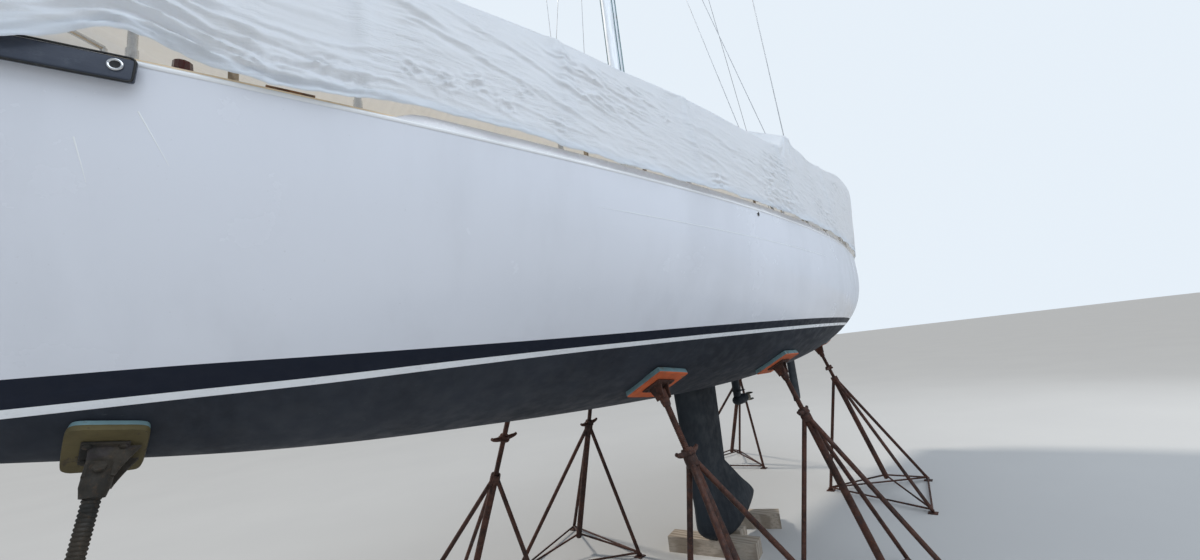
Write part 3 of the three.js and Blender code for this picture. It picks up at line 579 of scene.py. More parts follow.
def rusty_steel(name, dark, brown, bright):
    look = Look(name)
    broad = look.noise(7, 6, 0.65)
    fine = look.noise(70, 7, 0.75)
    color = look.mix(look.span(broad, 0.36, 0.62), dark, brown)
    color = look.mix(look.span(fine, 0.52, 0.72, 0, 0.8), color, bright)
    paint = look.span(look.noise(11, 5, 0.6), 0.6, 0.66)
    color = look.mix(look.math("MULTIPLY", paint, 0.55), color, screen(58, 52, 54))
    pits = look.math("ADD", fine, look.math("MULTIPLY", look.cells(120), -0.6))
    look.set(
        Base_Color=color,
        Metallic=0.25,
        Roughness=look.span(look.noise(30, 5), 0.3, 0.7, 0.55, 0.92),
        Normal=look.bump(pits, 0.5, 0.0014),
    )
    return look.material


def worn_plywood(name, paint, bare):
    look = Look(name)
    grain = look.noise(24, 7, 0.65, stretch=(0.18, 2.2, 1), distortion=0.4)
    color = look.mix(look.span(look.noise(9, 4), 0.35, 0.7), paint, darker(paint, 0.72))
    chips = look.span(look.noise(17, 8, 0.72), 0.56, 0.62)
    color = look.mix(look.math("MULTIPLY", chips, 0.85), color, bare)
    color = look.mix(look.span(grain, 0.5, 0.8, 0, 0.4), color, darker(bare, 0.5))
    height = look.math("ADD", grain, look.math("MULTIPLY", chips, -0.8))
    look.set(Base_Color=color, Roughness=0.78, Normal=look.bump(height, 0.45, 0.0015))
    return look.material


def raw_timber(name, light, dark):
    look = Look(name)
    rings = look.wave(5.5, "X", 5.5, 3, stretch=(1, 0.12, 1))
    fibre = look.noise(36, 8, 0.7, stretch=(2.4, 0.1, 2.4))
    color = look.mix(look.span(rings, 0.2, 0.85), light, dark)
    color = look.mix(look.span(fibre, 0.42, 0.72, 0, 0.7), color, darker(dark, 0.55))
    grey = look.span(look.noise(3, 5), 0.4, 0.7, 0, 0.6)
    color = look.mix(grey, color, screen(150, 145, 136))
    look.set(Base_Color=color, Roughness=0.88, Normal=look.bump(look.math("ADD", rings, fibre), 0.5, 0.0022))
    return look.material


def deck_paint(name, color):
    look = Look(name)
    grip = look.cells(420)
    dirt = look.span(look.noise(6, 7, 0.7), 0.45, 0.75)
    look.set(
        Base_Color=look.mix(look.math("MULTIPLY", dirt, 0.5), color, screen(168, 150, 122)),
        Roughness=0.6,
        Normal=look.bump(grip, 0.3, 0.0008),
    )
    return look.material


def board_cloth(name, color):
    look = Look(name)
    weave = look.math("ADD", look.wave(190, "X"), look.wave(190, "Z"))
    dust = look.span(look.noise(24, 7, 0.7), 0.5, 0.78)
    folds = look.bump(look.noise(16, 4, stretch=(0.6, 0.6, 1.5)), 0.4, 0.006)
    look.set(
        Base_Color=look.mix(look.math("MULTIPLY", dust, 0.4), color, screen(96, 104, 116)),
        Roughness=0.5,
        Sheen_Weight=0.15,
        Normal=look.bump(weave, 0.2, 0.0004, folds),
    )
    return look.material


def plain_rubber(name, color):
    look = Look(name)
    look.set(
        Base_Color=look.mix(look.span(look.noise(60, 5), 0.5, 0.8), color, screen(62, 62, 64)),
        Roughness=0.62,
        Normal=look.bump(look.noise(200, 3), 0.2, 0.0005),
    )
    return look.material


def lamp_lens(name, color):
    look = Look(name)
    rib = look.wave(60, "Z")
    tint = look.mix(look.noise(9, 3), color, darker(color, 0.6))
    look.set(Base_Color=tint, Roughness=0.16, Coat_Weight=0.5, Normal=look.bump(rib, 0.25, 0.001))
    return look.material


# White gelcoat with a blue cast painted in for the skylight it reflects.
GELCOAT_WITH_PAINTED_SKYLIGHT = white_gelcoat("gelcoat_white_with_painted_skylight", (0.79, 0.82, 0.895, 1))
# A lighter copy of the white gelcoat: a painted highlight along the gunwale's rounded lip. The light
# scratches on the bow are drawn in it too.
GELCOAT_HIGHLIGHT_AND_SCRATCHES = white_gelcoat("gelcoat_rim_highlight_and_scratches", (0.90, 0.92, 0.95, 1), 0.12)
# A lighter copy of the white gelcoat for the toe rails: painted light that lifts them out of the shade under
# the cover.
RAIL_PAINTED_LIGHT = white_gelcoat("gelcoat_rail_painted_light", (0.90, 0.91, 0.96, 1), 0.2)
NAVY = painted_stripe("stripe_navy", screen(22, 29, 44), screen(34, 42, 58), 0.2, 0.45)
STRIPE = painted_stripe("stripe_white", (0.86, 0.89, 0.93, 1), screen(190, 194, 198))
BOTTOM = bottom_paint("bottom_paint", screen(36, 40, 48), screen(50, 55, 64))
# A darker copy of the bottom paint for the keel, rudder and drive: painted shade for where they hang under
# the hull.
KEEL_PAINT_PAINTED_SHADE = bottom_paint("keel_paint_painted_shade", screen(30, 34, 40), screen(46, 52, 58))
CLOTH = cover_cloth("cover_cloth", (0.78, 0.85, 0.945, 1), (0.68, 0.745, 0.82, 1), (0.97, 0.92, 0.85, 1))
STEEL = bare_metal("stainless", (0.66, 0.67, 0.69, 1), 0.14)
WIRE = bare_metal("stay_wire", (0.45, 0.46, 0.48, 1), 0.3)
ALUMINIUM = bare_metal("mast_aluminium", (0.88, 0.92, 0.97, 1), 0.45, metal=0.1, stretch=(3, 3, 0.2))
BRONZE = bare_metal("dull_bronze", (0.17, 0.145, 0.10, 1), 0.46, metal=0.7)
RUST = rusty_steel("rusty_steel", screen(54, 38, 34), screen(84, 54, 44), screen(128, 78, 52))
DARK_STEEL = rusty_steel("dark_steel", screen(38, 38, 36), screen(58, 52, 44), screen(84, 66, 50))
ORANGE = worn_plywood("pad_orange", screen(206, 98, 50), screen(142, 108, 78))
OLIVE = worn_plywood("pad_olive", screen(92, 82, 50), screen(66, 56, 40))
EDGE = worn_plywood("pad_edge", screen(112, 142, 148), screen(96, 92, 82))
TIMBER = raw_timber("raw_timber", screen(190, 176, 160), screen(154, 140, 124))
TEAK = raw_timber("teak_trim", screen(146, 104, 70), screen(104, 70, 46))
DECK_PAINT = deck_paint("deck_paint", screen(252, 232, 202))
BOARD_CLOTH = board_cloth("board_cloth", screen(52, 60, 76))
# Black rubber for the board's edging. The same dark colour fills the drain's opening and the board's eye as
# painted shade in their holes.
RUBBER_AND_HOLE_SHADE = plain_rubber("edge_rubber_and_hole_shade", screen(20, 21, 23))
RED_LENS = lamp_lens("red_lens", screen(84, 14, 16))
GREEN_LENS = lamp_lens("green_lens", screen(20, 96, 58))


# Hull
# Painted lines: place, height of the navy band's top and of the white line's top and foot over
# the waterline
PAINT_LINES = np.array([
    (0, 0.0645, 0.0235, 0.0),
    (0.32, 0.0700, 0.0225, -0.001),
    (0.72, 0.0700, 0.0207, -0.003),
    (0.80, 0.0730, 0.0140, -0.012),
    (0.855, 0.0785, 0.0055, -0.0205),
    (0.9, 0.0860, 0.0050, -0.0200),
    (1, 0.0870, 0.0030, -0.0225),
])
ROW_COUNTS = (44, 3, 2, 26)
TRANSOM_EDGE = 0.0017
EDGE_RADIUS = 0.012


def hull_rows(place):
    """Shares around the section at one place, with rows on the edges of the stripes."""
    lines = [WATERLINE + float(table_value(PAINT_LINES, column, place)) for column in (1, 2, 3)]
    marks = [0.0] + [float(around_at(place, z)) for z in lines] + [1.0]
    parts = [np.linspace(a, b, n + 1)[:-1] for a, b, n in zip(marks[:-1], marks[1:], ROW_COUNTS)]
    return np.concatenate(parts + [[1.0]])


def build_hull():
    """The skin from a rounded transom edge to a rounded stem, with the transom's face."""
    center = np.array([0, 0, 2.5])
    rings = []
    for turn in np.linspace(math.pi / 2, 0, 5)[:-1]:
        place = TRANSOM_EDGE * (1 - math.sin(turn))
        ring = hull_point(place, hull_rows(place))
        pull = (center - ring) * np.array([0, 1, 1])
        pull /= np.maximum(np.linalg.norm(pull, axis=1), 1e-6)[:, None]
        rings.append(ring + pull * EDGE_RADIUS * (1 - math.cos(turn)))
    body = np.concatenate([np.linspace(TRANSOM_EDGE, 0.9, 118), np.linspace(0.9, 0.9985, 44)[1:]])
    rings += [hull_point(place, hull_rows(place)) for place in body]
    tip = rings[-1]
    for turn in np.linspace(0, math.pi / 2, 7)[1:]:
        rings.append(tip * [1, math.cos(turn), 1] + [EDGE_RADIUS * math.sin(turn), 0, 0])
    port = np.array(rings)
    bands = np.repeat(np.arange(4), ROW_COUNTS)
    looks = np.tile(bands, (len(port) - 1, 1))
    shape = Shape()
    shape.grid(port, looks, flip=True)
    shape.grid(port * [1, -1, 1], looks)
    across = np.linspace(1, -1, 25)[None, :, None]
    stern = port[0][:, None, :]
    face = stern * [1, 0, 1] + stern * [0, 1, 0] * across
    shape.grid(face, np.tile(bands[:, None], (1, 24)), flip=True)
    add_piece("hull_skin", shape, [GELCOAT_WITH_PAINTED_SKYLIGHT, NAVY, STRIPE, BOTTOM], ["hull"], angle=32)


def sweep(shape, places, profile, side, tall=None):
    """A moulding along the gunwale. Profile rows are outward reach and rise over the sheer."""
    low = profile[0][1]
    rings = []
    for place, factor in zip(places, np.ones(len(places)) if tall is None else tall):
        base = gunwale(place, side)
        run = unit((gunwale(min(place + 0.002, 1), side) - gunwale(max(place - 0.002, 0), side)) * [1, 1, 0])
        out = np.array([-run[1], run[0], 0]) * side
        rings.append([base + out * a + UP * (low + (b - low) * factor) for a, b in profile])
    shape.grid(np.array(rings), flip=side > 0)


RIM_PROFILE = [(-0.0006, -0.0085), (0.0014, -0.0072), (0.0028, -0.0040), (0.0033, 0.0005), (0.0028, 0.0048),
               (0.0010, 0.0082), (-0.0024, 0.0102), (-0.0065, 0.0108), (-0.0150, 0.0110)]
RAIL_PROFILE = [(-0.0070, 0.0100), (-0.0082, 0.0160), (-0.0100, 0.030), (-0.0116, 0.042), (-0.0140, 0.0500),
                (-0.0190, 0.0548), (-0.027, 0.0562), (-0.036, 0.0550), (-0.0405, 0.0505), (-0.0425, 0.042),
                (-0.0435, 0.0226)]
RIM_START = 0.0003
RAIL_ENDS = (0.03, 0.812)
KNUCKLE_ENDS = (0.44, 0.725)
KNUCKLE_DROP = 0.198


def build_rim():
    """The thin lip around the gunwale and across the transom, coloured lighter than the hull as a painted
    highlight.
    """
    shape = Shape()
    places = np.concatenate([np.linspace(RIM_START, 0.9, 130), np.linspace(0.9, 1, 50)[1:]])
    for side in SIDES.values():
        sweep(shape, places, RIM_PROFILE, side)
    edge = gunwale(RIM_START)
    ys = np.linspace(edge[1] + 0.004, -edge[1] - 0.004, 30)
    shape.grid(np.array([[(edge[0] - a, y, edge[2] + b) for a, b in RIM_PROFILE] for y in ys]))
    add_piece("gunwale_rim", shape, [GELCOAT_HIGHLIGHT_AND_SCRATCHES])


def build_toe_rails():
    aft, fore = RAIL_ENDS
    places = np.linspace(aft, fore, 150)
    tall = smooth_step(fore, 0.798, places) * smooth_step(aft, 0.036, places)
    for name, side in SIDES.items():
        shape = Shape()
        sweep(shape, places, RAIL_PROFILE, side, np.maximum(tall, 0.02))
        add_piece(f"toe_rail_{name}_skin", shape, [RAIL_PAINTED_LIGHT], [f"toe_rail_{name}"])


def build_knuckle_highlight():
    """A thin light line on the topsides that tapers at both ends: a painted highlight along a knuckle in the
    hull.
    """
    aft, fore = KNUCKLE_ENDS
    places = np.linspace(aft, fore, 70)
    around = around_at(places, sheer_height(places) - KNUCKLE_DROP)
    shape = Shape()
    for side in SIDES.values():
        strip = []
        for place, share in zip(places, around):
            wide = 0.002 * min(1, min(place - aft, fore - place) / 0.03 + 0.15)
            center = hull_point(place, share, side) + hull_normal(place, float(share), side) * 0.0006
            strip.append([center + UP * wide * k for k in (1, 0, -1)])
        shape.grid(np.array(strip), flip=side > 0)
    add_piece("knuckle_painted_highlight", shape, [STRIPE])


# Keel, rudder and drive
def foil(nose, chord, thickness, z, steps=22):
    share = (1 - np.cos(np.linspace(0, math.pi, steps))) / 2
    half = 5 * thickness * (0.2969 * np.sqrt(share) - 0.126 * share - 0.3516 * share ** 2
                            + 0.2843 * share ** 3 - 0.1015 * share ** 4)
    half = np.maximum(half, 0.0015)
    half[0] = 0
    upper = np.stack([nose - share * chord, half, np.full(steps, z)], axis=-1)
    lower = upper[::-1][:-1] * [1, -1, 1]
    return np.concatenate([upper, lower])


def loft_foils(shape, rows, steps, caps=(True, True)):
    """Foil sections from a table of height, nose, chord and thickness, smooth between its rows."""
    rows = np.array(sorted(rows))
    heights = np.unique(np.concatenate([np.linspace(rows[0, 0], rows[-1, 0], steps), rows[:, 0]]))
    rings = np.array([foil(*(float(table_value(rows, k, z)) for k in (1, 2, 3)), z) for z in heights])
    shape.grid(rings, wrap=True)
    for cap, ring, flip in zip(caps, (rings[0], rings[-1]), (True, False)):
        if cap:
            shape.fan(ring, ring.mean(axis=0), flip=flip)


FIN_ROWS = [(0.768, -0.205, 0.751, 0.100), (1.2, -0.165, 0.812, 0.112), (1.62, -0.137, 0.856, 0.120)]
FOOT_ROWS = [(0.145, -0.56, 0.70, 0.17), (0.152, -0.50, 0.80, 0.20), (0.175, -0.42, 0.95, 0.225),
             (0.2, -0.37, 1.06, 0.24), (0.25, -0.30, 1.215, 0.245), (0.3, -0.265, 1.29, 0.24),
             (0.38, -0.247, 1.23, 0.20), (0.5, -0.235, 1.065, 0.14), (0.64, -0.22, 0.90, 0.115),
             (0.768, -0.205, 0.751, 0.100)]
RUDDER_ROWS = [(1.0, -3.497, 0.262, 0.040), (1.02, -3.487, 0.30, 0.048), (1.2, -3.481, 0.318, 0.055),
               (1.5, -3.476, 0.328, 0.060), (1.832, -3.475, 0.335, 0.062)]
LEG_ROWS = [(1.28, -1.46, 0.165, 0.066), (1.5, -1.455, 0.172, 0.07), (1.7, -1.45, 0.178, 0.074)]
STOCK_X = -3.555

# Drive: aft end of the gear case on the shaft's axis, the case ahead of it and the hub behind it
CASE_AFT = (-1.74, 0, 1.297)
CASE_PROFILE = [(0, 0.0), (0.0005, 0.035), (0.004, 0.0438), (0.03, 0.05), (0.07, 0.056), (0.2, 0.056),
                (0.25, 0.052), (0.28, 0.043), (0.298, 0.028), (0.307, 0.012), (0.31, 0.0)]
HUB_PROFILE = [(0.0003, 0.0), (0.0004, 0.039), (0.003, 0.042), (0.05, 0.042), (0.07, 0.04), (0.084, 0.033),
               (0.09, 0.0)]
BLADE_PIN_X = -1.79
BLADE_LENGTH = 0.165


def build_keel():
    for name, rows, steps, caps in (
        ("keel_fin", FIN_ROWS, 16, (False, True)), ("keel_foot", FOOT_ROWS, 34, (True, False)),
    ):
        shape = Shape()
        loft_foils(shape, rows, steps, caps)
        add_piece(f"{name}_skin", shape, [KEEL_PAINT_PAINTED_SHADE], [name])


def build_rudder():
    shape = Shape()
    loft_foils(shape, RUDDER_ROWS, 22)
    _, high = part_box("rudder")
    tube(shape, [(STOCK_X, 0, 1.7), (STOCK_X, 0, high.z)], 0.019, 20)
    add_piece("rudder_skin", shape, [KEEL_PAINT_PAINTED_SHADE], ["rudder"], body="rudder")


def build_drive():
    """The leg, its gear case and the plate over the propeller."""
    shape = Shape()
    loft_foils(shape, LEG_ROWS, 10, (False, False))
    lathe(shape, CASE_PROFILE, CASE_AFT, (1, 0, 0), 28)
    block(shape, (-1.545, 0, 1.40), (0.17, 0.12, 0.008), radius=0.003)
    add_piece("saildrive_skin", shape, [KEEL_PAINT_PAINTED_SHADE], ["saildrive_leg"])


def build_propeller():
    """The hub with its two blades folded aft."""
    shape = Shape()
    lathe(shape, HUB_PROFILE, CASE_AFT, (-1, 0, 0), 28)
    turn = full_turn(14)
    shaft_z = CASE_AFT[2]
    for side in (1, -1):
        rings = []
        for s in np.linspace(0, 1, 12):
            width = 0.026 + 0.026 * math.sin(math.pi * min(s * 1.05, 1)) * (1 - 0.35 * s) - 0.014 * s ** 3
            z = 0.033 + 0.010 * math.sin(math.pi * s)
            ys = np.cos(turn) * width
            zs = np.sin(turn) * (0.0085 - 0.005 * s) + z - (ys / 0.05) ** 2 * 0.008
            xs = np.full(14, BLADE_PIN_X - BLADE_LENGTH * s)
            rings.append(np.stack([xs, ys * side + 0.0014 * (1 - s), shaft_z + side * zs], axis=-1))
        rings = np.array(rings)
        shape.grid(rings, wrap=True)
        shape.fan(rings[0], rings[0].mean(axis=0), flip=True)
        shape.fan(rings[-1], rings[-1].mean(axis=0))
        pin = (BLADE_PIN_X, 0, shaft_z + side * 0.034)
        lathe(shape, [(-0.02, 0.0), (-0.02, 0.009), (0.02, 0.009), (0.02, 0.0)], pin, (0, 1, 0), 12)
    add_piece("propeller_skin", shape, [BRONZE], ["propeller"], body="propeller")


# Guard rails and the rails at both ends
STANCHION_PLACES = [0.12, 0.25, 0.38, 0.51, 0.637, 0.73, 0.817]
PULPIT_PLACES = [0.878, 0.93]
PUSHPIT_PLACES = [0.09, 0.03]
LINE_SHARES = (0.5, 0.97)
END_RAIL_RISE = GUARDRAIL_HEIGHT * LINE_SHARES[1]
STANCHION_FOOT = [(0, 0.0), (0, 0.031), (0.004, 0.031), (0.007, 0.027), (0.009, 0.0165), (0.06, 0.0155),
                  (0.062, 0.0126)]
LINE_END = [(0.02, 0.004), (0.024, 0.0072), (0.12, 0.0072), (0.124, 0.004)]


def on_deck(place, side, rise):
    return gunwale(place, side, GUARDRAIL_INSET, DECK_THICKNESS + SEAT_GAP + rise)


def gunwale_x(place):
    return float(lengthwise(place, sheer_height(place)))


def stanchion(shape, place, side, height):
    """A stanchion in its bolted foot."""
    foot = on_deck(place, side, 0)
    top = foot + UP * height
    lathe(shape, STANCHION_FOOT, foot, sides=16)
    tube(shape, [foot, top], 0.0125, 14)
    for k in range(3):
        turn = k * 2.1 + place * 9
        bolt = foot + np.array([0.0235 * math.cos(turn), 0.0235 * math.sin(turn), 0.006])
        lathe(shape, [(0, 0.004), (0.003, 0.0035), (0.0045, 0.0)], bolt, sides=8)
    return foot, top


def build_guardrails():
    for name, side in SIDES.items():
        shape = Shape()
        for place in STANCHION_PLACES:
            foot, top = stanchion(shape, place, side, GUARDRAIL_HEIGHT - 0.012)
            lathe(shape, [(-0.004, 0.0125), (0.004, 0.0120), (0.009, 0.008), (0.0105, 0.0)], top, sides=14)
            for share in LINE_SHARES:
                eye = foot + UP * GUARDRAIL_HEIGHT * share
                lathe(shape, [(-0.009, 0.0075), (0, 0.0085), (0.009, 0.0075)], eye, (1, 0, 0), 10)
        for share in LINE_SHARES:
            line = [on_deck(place, side, GUARDRAIL_HEIGHT * share) for place in STANCHION_PLACES]
            tube(shape, line, 0.004, 8)
            for end, run in ((line[0], 1), (line[-1], -1)):
                lathe(shape, LINE_END, end, (run, 0, 0), 10)
        add_piece(f"guardrail_{name}_tubes", shape, [STEEL], [f"guardrail_{name}"])


def build_end_rails():
    bow_x = float(lengthwise(0.965, STEM_TOP))
    bow_z = float(sheer_height(0.97)) + DECK_THICKNESS + GUARDRAIL_HEIGHT
    stern_x = gunwale_x(0.02)
    stern_z = float(sheer_height(0.02)) + DECK_THICKNESS + END_RAIL_RISE
    ends = (
        ("pulpit", PULPIT_PLACES, [(bow_x, 0.09, bow_z), (bow_x, -0.09, bow_z)]),
        ("pushpit", PUSHPIT_PLACES,
         [(stern_x, 0.7, stern_z), (stern_x - 0.02, 0, stern_z), (stern_x, -0.7, stern_z)]),
    )
    for name, places, tip in ends:
        shape = Shape()
        for side in SIDES.values():
            for place in places:
                stanchion(shape, place, side, END_RAIL_RISE)
        tops = [on_deck(place, 1, END_RAIL_RISE) for place in places] + tip
        tops += [on_deck(place, -1, END_RAIL_RISE) for place in places[::-1]]
        tube(shape, rounded_path(tops, 0.09), 0.0127, 14)
        add_piece(f"{name}_tubes", shape, [STEEL], [name])


# Mast, spreaders and stays
MAST_HALF = (0.09, 0.06)
SPREADER_RISE = 5.8
SHROUD_X = -0.49
TURNBUCKLE = [(0, 0.0), (0, 0.007), (0.05, 0.007), (0.052, 0.0052), (0.075, 0.0052), (0.08, 0.0095),
              (0.22, 0.0095), (0.225, 0.0055), (0.25, 0.0055), (0.255, 0.0068), (0.33, 0.0068), (0.335, 0.0)]
SHEAVE = [(-0.01, 0), (-0.01, 0.028), (0.01, 0.028), (0.01, 0)]


def build_mast(foot, head):
    """The tube with its masthead, step, sail track, spreader roots, sheaves and cleats."""
    shape = Shape()
    turn = full_turn(44)
    xs, ys = MAST_X + np.cos(turn) * MAST_HALF[0], np.sin(turn) * MAST_HALF[1]
    rings = np.array([np.stack([xs, ys, np.full(44, z)], axis=-1) for z in np.linspace(foot, head, 24)])
    shape.grid(rings, wrap=True)
    shape.fan(rings[-1], (MAST_X, 0, head))
    block(shape, (MAST_X, 0, head + 0.02), (0.42, 0.06, 0.06), radius=0.006)
    block(shape, (MAST_X, 0, foot - 0.001), (0.26, 0.16, 0.018), radius=0.006)
    for side in SIDES.values():
        track = (MAST_X - 0.0905, side * 0.009, (foot + head) / 2 + 0.6)
        block(shape, track, (0.012, 0.005, 10.2), radius=0.0015)
        block(shape, (MAST_X - 0.02, side * 0.062, foot + 5.83), (0.2, 0.012, 0.12), radius=0.005)
        lathe(shape, SHEAVE, (MAST_X + side * 0.17, 0, head + 0.02), (0, 1, 0), 16)
    for height in (1.1, 1.16):
        block(shape, (MAST_X + 0.02, 0.0595, foot + height), (0.018, 0.012, 0.03), radius=0.004)
    add_piece("mast_tube", shape, [ALUMINIUM], ["mast"])


def build_halyards(foot, head):
    shape = Shape()
    for x, y in ((0.03, 0.068), (0.03, -0.068), (-0.03, 0.066)):
        run = [(y, foot + 0.5), (y * 1.02, foot + 6), (y, head - 0.1)]
        tube(shape, [(MAST_X + x, across, z) for across, z in run], 0.005, 8)
    add_piece("halyards", shape, [EDGE])


def add_stay(shape, start, path, radius=0.004):
    """A wire with its turnbuckle at the start."""
    aim = unit(np.asarray(path[0]) - start)
    lathe(shape, TURNBUCKLE, start, aim, 12)
    tube(shape, [start + aim * 0.28, *path], radius, 8)


def build_shrouds(name, side, spread_z, head):
    """The spreader, cap shroud and two lower shrouds of one side."""
    root = np.array([MAST_X - 0.01, side * 0.0603, spread_z])
    tip = np.array([MAST_X - 0.35, side * 1.15, spread_z + 0.09])
    aim = unit(tip - root)
    spreader, cap, lower = Shape(), Shape(), Shape()
    path = [root + (tip - root) * s for s in np.linspace(0, 1, 10)]
    tube(spreader, path, np.linspace(0.044, 0.026, 10), 16, flat=0.33)
    tube(spreader, [tip - aim * 0.03, tip + aim * 0.012], 0.016, 12)
    add_piece(f"spreader_{name}_foil", spreader, [ALUMINIUM], [f"spreader_{name}"])
    base = gunwale(float(place_of(SHROUD_X)), side, 0.112, RAIL_HEIGHT)
    add_stay(cap, base, [tip + np.array([0, side * 0.009, 0]), (MAST_X, side * 0.076, head - 0.04)])
    add_piece(f"cap_shroud_{name}_wire", cap, [WIRE], [f"cap_shroud_{name}"])
    for shift in (-0.28, 0.62):
        start = gunwale(float(place_of(SHROUD_X + shift)), side, 0.118, RAIL_HEIGHT)
        add_stay(lower, start, [(MAST_X, side * 0.063, spread_z - 0.12)], 0.0032)
    add_piece(f"lower_shrouds_{name}", lower, [WIRE])


def build_rig():
    _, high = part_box("mast")
    head = high.z - 0.05
    foot = head - MAST_HEIGHT
    build_mast(foot, head)
    build_halyards(foot, head)
    for name, side in SIDES.items():
        build_shrouds(name, side, foot + SPREADER_RISE, head)
    for name, ahead in (("forestay", 1), ("backstay", -1)):
        low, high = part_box(name)
        outer, inner = (high.x, low.x) if ahead > 0 else (low.x, high.x)
        shape = Shape()
        foot = np.array([outer - ahead * 0.01, 0, low.z + 0.004])
        add_stay(shape, foot, [(inner + ahead * 0.004, 0, high.z)])
        add_piece(f"{name}_wire", shape, [WIRE], [name])


# Winter cover
SIDE_ROWS = {1: 104, -1: 56}
BEND_ROWS = 6
ROOF_ROWS = 26
PEAK_PLACE = 0.481
SIDE_SEED = {1: 3, -1: 53}

# Where the cloth is crumpled: distance along the ship, rise over the hem, size, height of the folds
CRUMPLES = np.array([
    (2.86, 0.15, 0.045, 0.012), (2.745, 0.13, 0.050, 0.015), (2.61, 0.17, 0.050, 0.013),
    (2.50, 0.10, 0.050, 0.012), (2.40, 0.20, 0.045, 0.010), (2.26, 0.09, 0.045, 0.010),
    (3.30, 0.06, 0.060, 0.010), (3.13, 0.10, 0.060, 0.010), (3.02, 0.05, 0.050, 0.010),
    (1.52, 0.37, 0.030, 0.014), (1.16, 0.06, 0.070, 0.012), (0.55, 0.10, 0.070, 0.010),
])

# Long folds: ends along the ship and over the hem, half width, how far they stand out
LONG_FOLDS = np.array([
    (3.95, 0.10, 3.28, 0.085, 0.012, 0.013), (3.85, 0.15, 3.36, 0.145, 0.015, 0.014),
    (3.90, 0.20, 3.10, 0.155, 0.013, 0.010), (3.80, 0.255, 3.26, 0.235, 0.017, 0.013),
    (3.70, 0.30, 3.15, 0.215, 0.012, 0.010), (3.60, 0.045, 3.10, 0.030, 0.011, 0.009),
    (3.42, 0.35, 2.98, 0.300, 0.016, 0.011), (3.30, 0.13, 2.80, 0.055, 0.011, 0.008),
    (3.05, 0.50, 2.62, 0.380, 0.018, 0.010), (2.95, 0.42, 2.42, 0.290, 0.014, 0.009),
    (2.78, 0.53, 2.36, 0.400, 0.013, 0.008), (2.70, 0.34, 2.20, 0.190, 0.013, 0.010),
    (2.52, 0.45, 2.08, 0.280, 0.012, 0.009), (2.44, 0.29, 1.96, 0.130, 0.011, 0.008),
    (2.30, 0.36, 1.80, 0.220, 0.012, 0.008), (1.95, 0.30, 1.62, 0.190, 0.012, 0.007),
    (1.44, 0.30, 1.02, 0.150, 0.014, 0.008), (1.32, 0.42, 0.80, 0.300, 0.016, 0.008),
    (0.95, 0.22, 0.40, 0.110, 0.016, 0.009),
])


def cover_columns(first, last):
    """Places along the cover, closer together where the cloth is seen from near."""
    x, end = gunwale_x(first), gunwale_x(last)
    marks = [-4.6, -2, 0, 1.4, 2.2, 3.6, 4.0, 4.8]
    steps = [0.030, 0.020, 0.014, 0.0115, 0.009, 0.0088, 0.014, 0.03]
    out = [x]
    while x < end:
        x += float(np.interp(x, marks, steps))
        out.append(min(x, end))
    return np.array([float(place_of(v)) for v in out])


def creases(x, rise, seed, lean, length, spacing):
    """Thin sharp folds that run along the hem and lean down towards the stern, from 0 to 1."""
    drift = 0.35 * layered(x * 1.6, rise * 2.2, seed + 2, 2)
    crest = np.abs(noise(x / length, (rise - lean * x) / spacing + drift, seed))
    return (1 - np.minimum(crest * 2.4, 1)) ** 1.5


def long_folds(x, rise):
    """Folds that run between two points, round on top and sharp at their foot."""
    out = np.zeros_like(rise)
    for x0, r0, x1, r1, wide, tall in LONG_FOLDS:
        share = (x - x0) / (x1 - x0)
        if -0.02 < share < 1.02:
            middle = r0 + (r1 - r0) * share + 0.008 * float(noise(x * 5, r0 * 9, 61))
            fade = float(smooth_step(0, 0.3, share) * smooth_step(1, 0.6, share))
            far = (rise - middle) / wide
            out += tall * fade * (np.exp(-np.abs(far) ** 1.5) - 0.35 * np.exp(-((far + 1.9) / 1.1) ** 2))
    return out


def crumpled(x, rise, seed):
    out = np.zeros_like(rise)
    folds = ridged(x * 17, rise * 20, seed, 3) - 0.35
    for at_x, at_rise, size, tall in CRUMPLES:
        if abs(x - at_x) < size * 2.6:
            far = ((x - at_x) / size) ** 2 + ((rise - at_rise) / size) ** 2
            out += tall * np.exp(-far) * folds * 2.2
    return out


def patched(x, rise):
    """A flap sewn on the cloth, and the fold that hangs under it."""
    inside = smooth_step(1.93, 1.945, x) * smooth_step(2.19, 2.17, x)
    flap = inside * smooth_step(0.405, 0.418, rise) * smooth_step(0.535, 0.52, rise)
    sunk = np.exp(-(((x - 2.13) / 0.03) ** 2 + ((rise - 0.47) / 0.02) ** 2))
    under = (rise - 0.335 + ((x - 2.0) / 0.10) ** 2 * 0.05) / 0.014
    bow = np.exp(-(under ** 2)) * np.exp(-((x - 2.0) / 0.09) ** 2)
    return 0.008 * flap * (1 + 0.5 * noise(x * 22, rise * 22, 5)) - 0.011 * sunk + 0.016 * bow


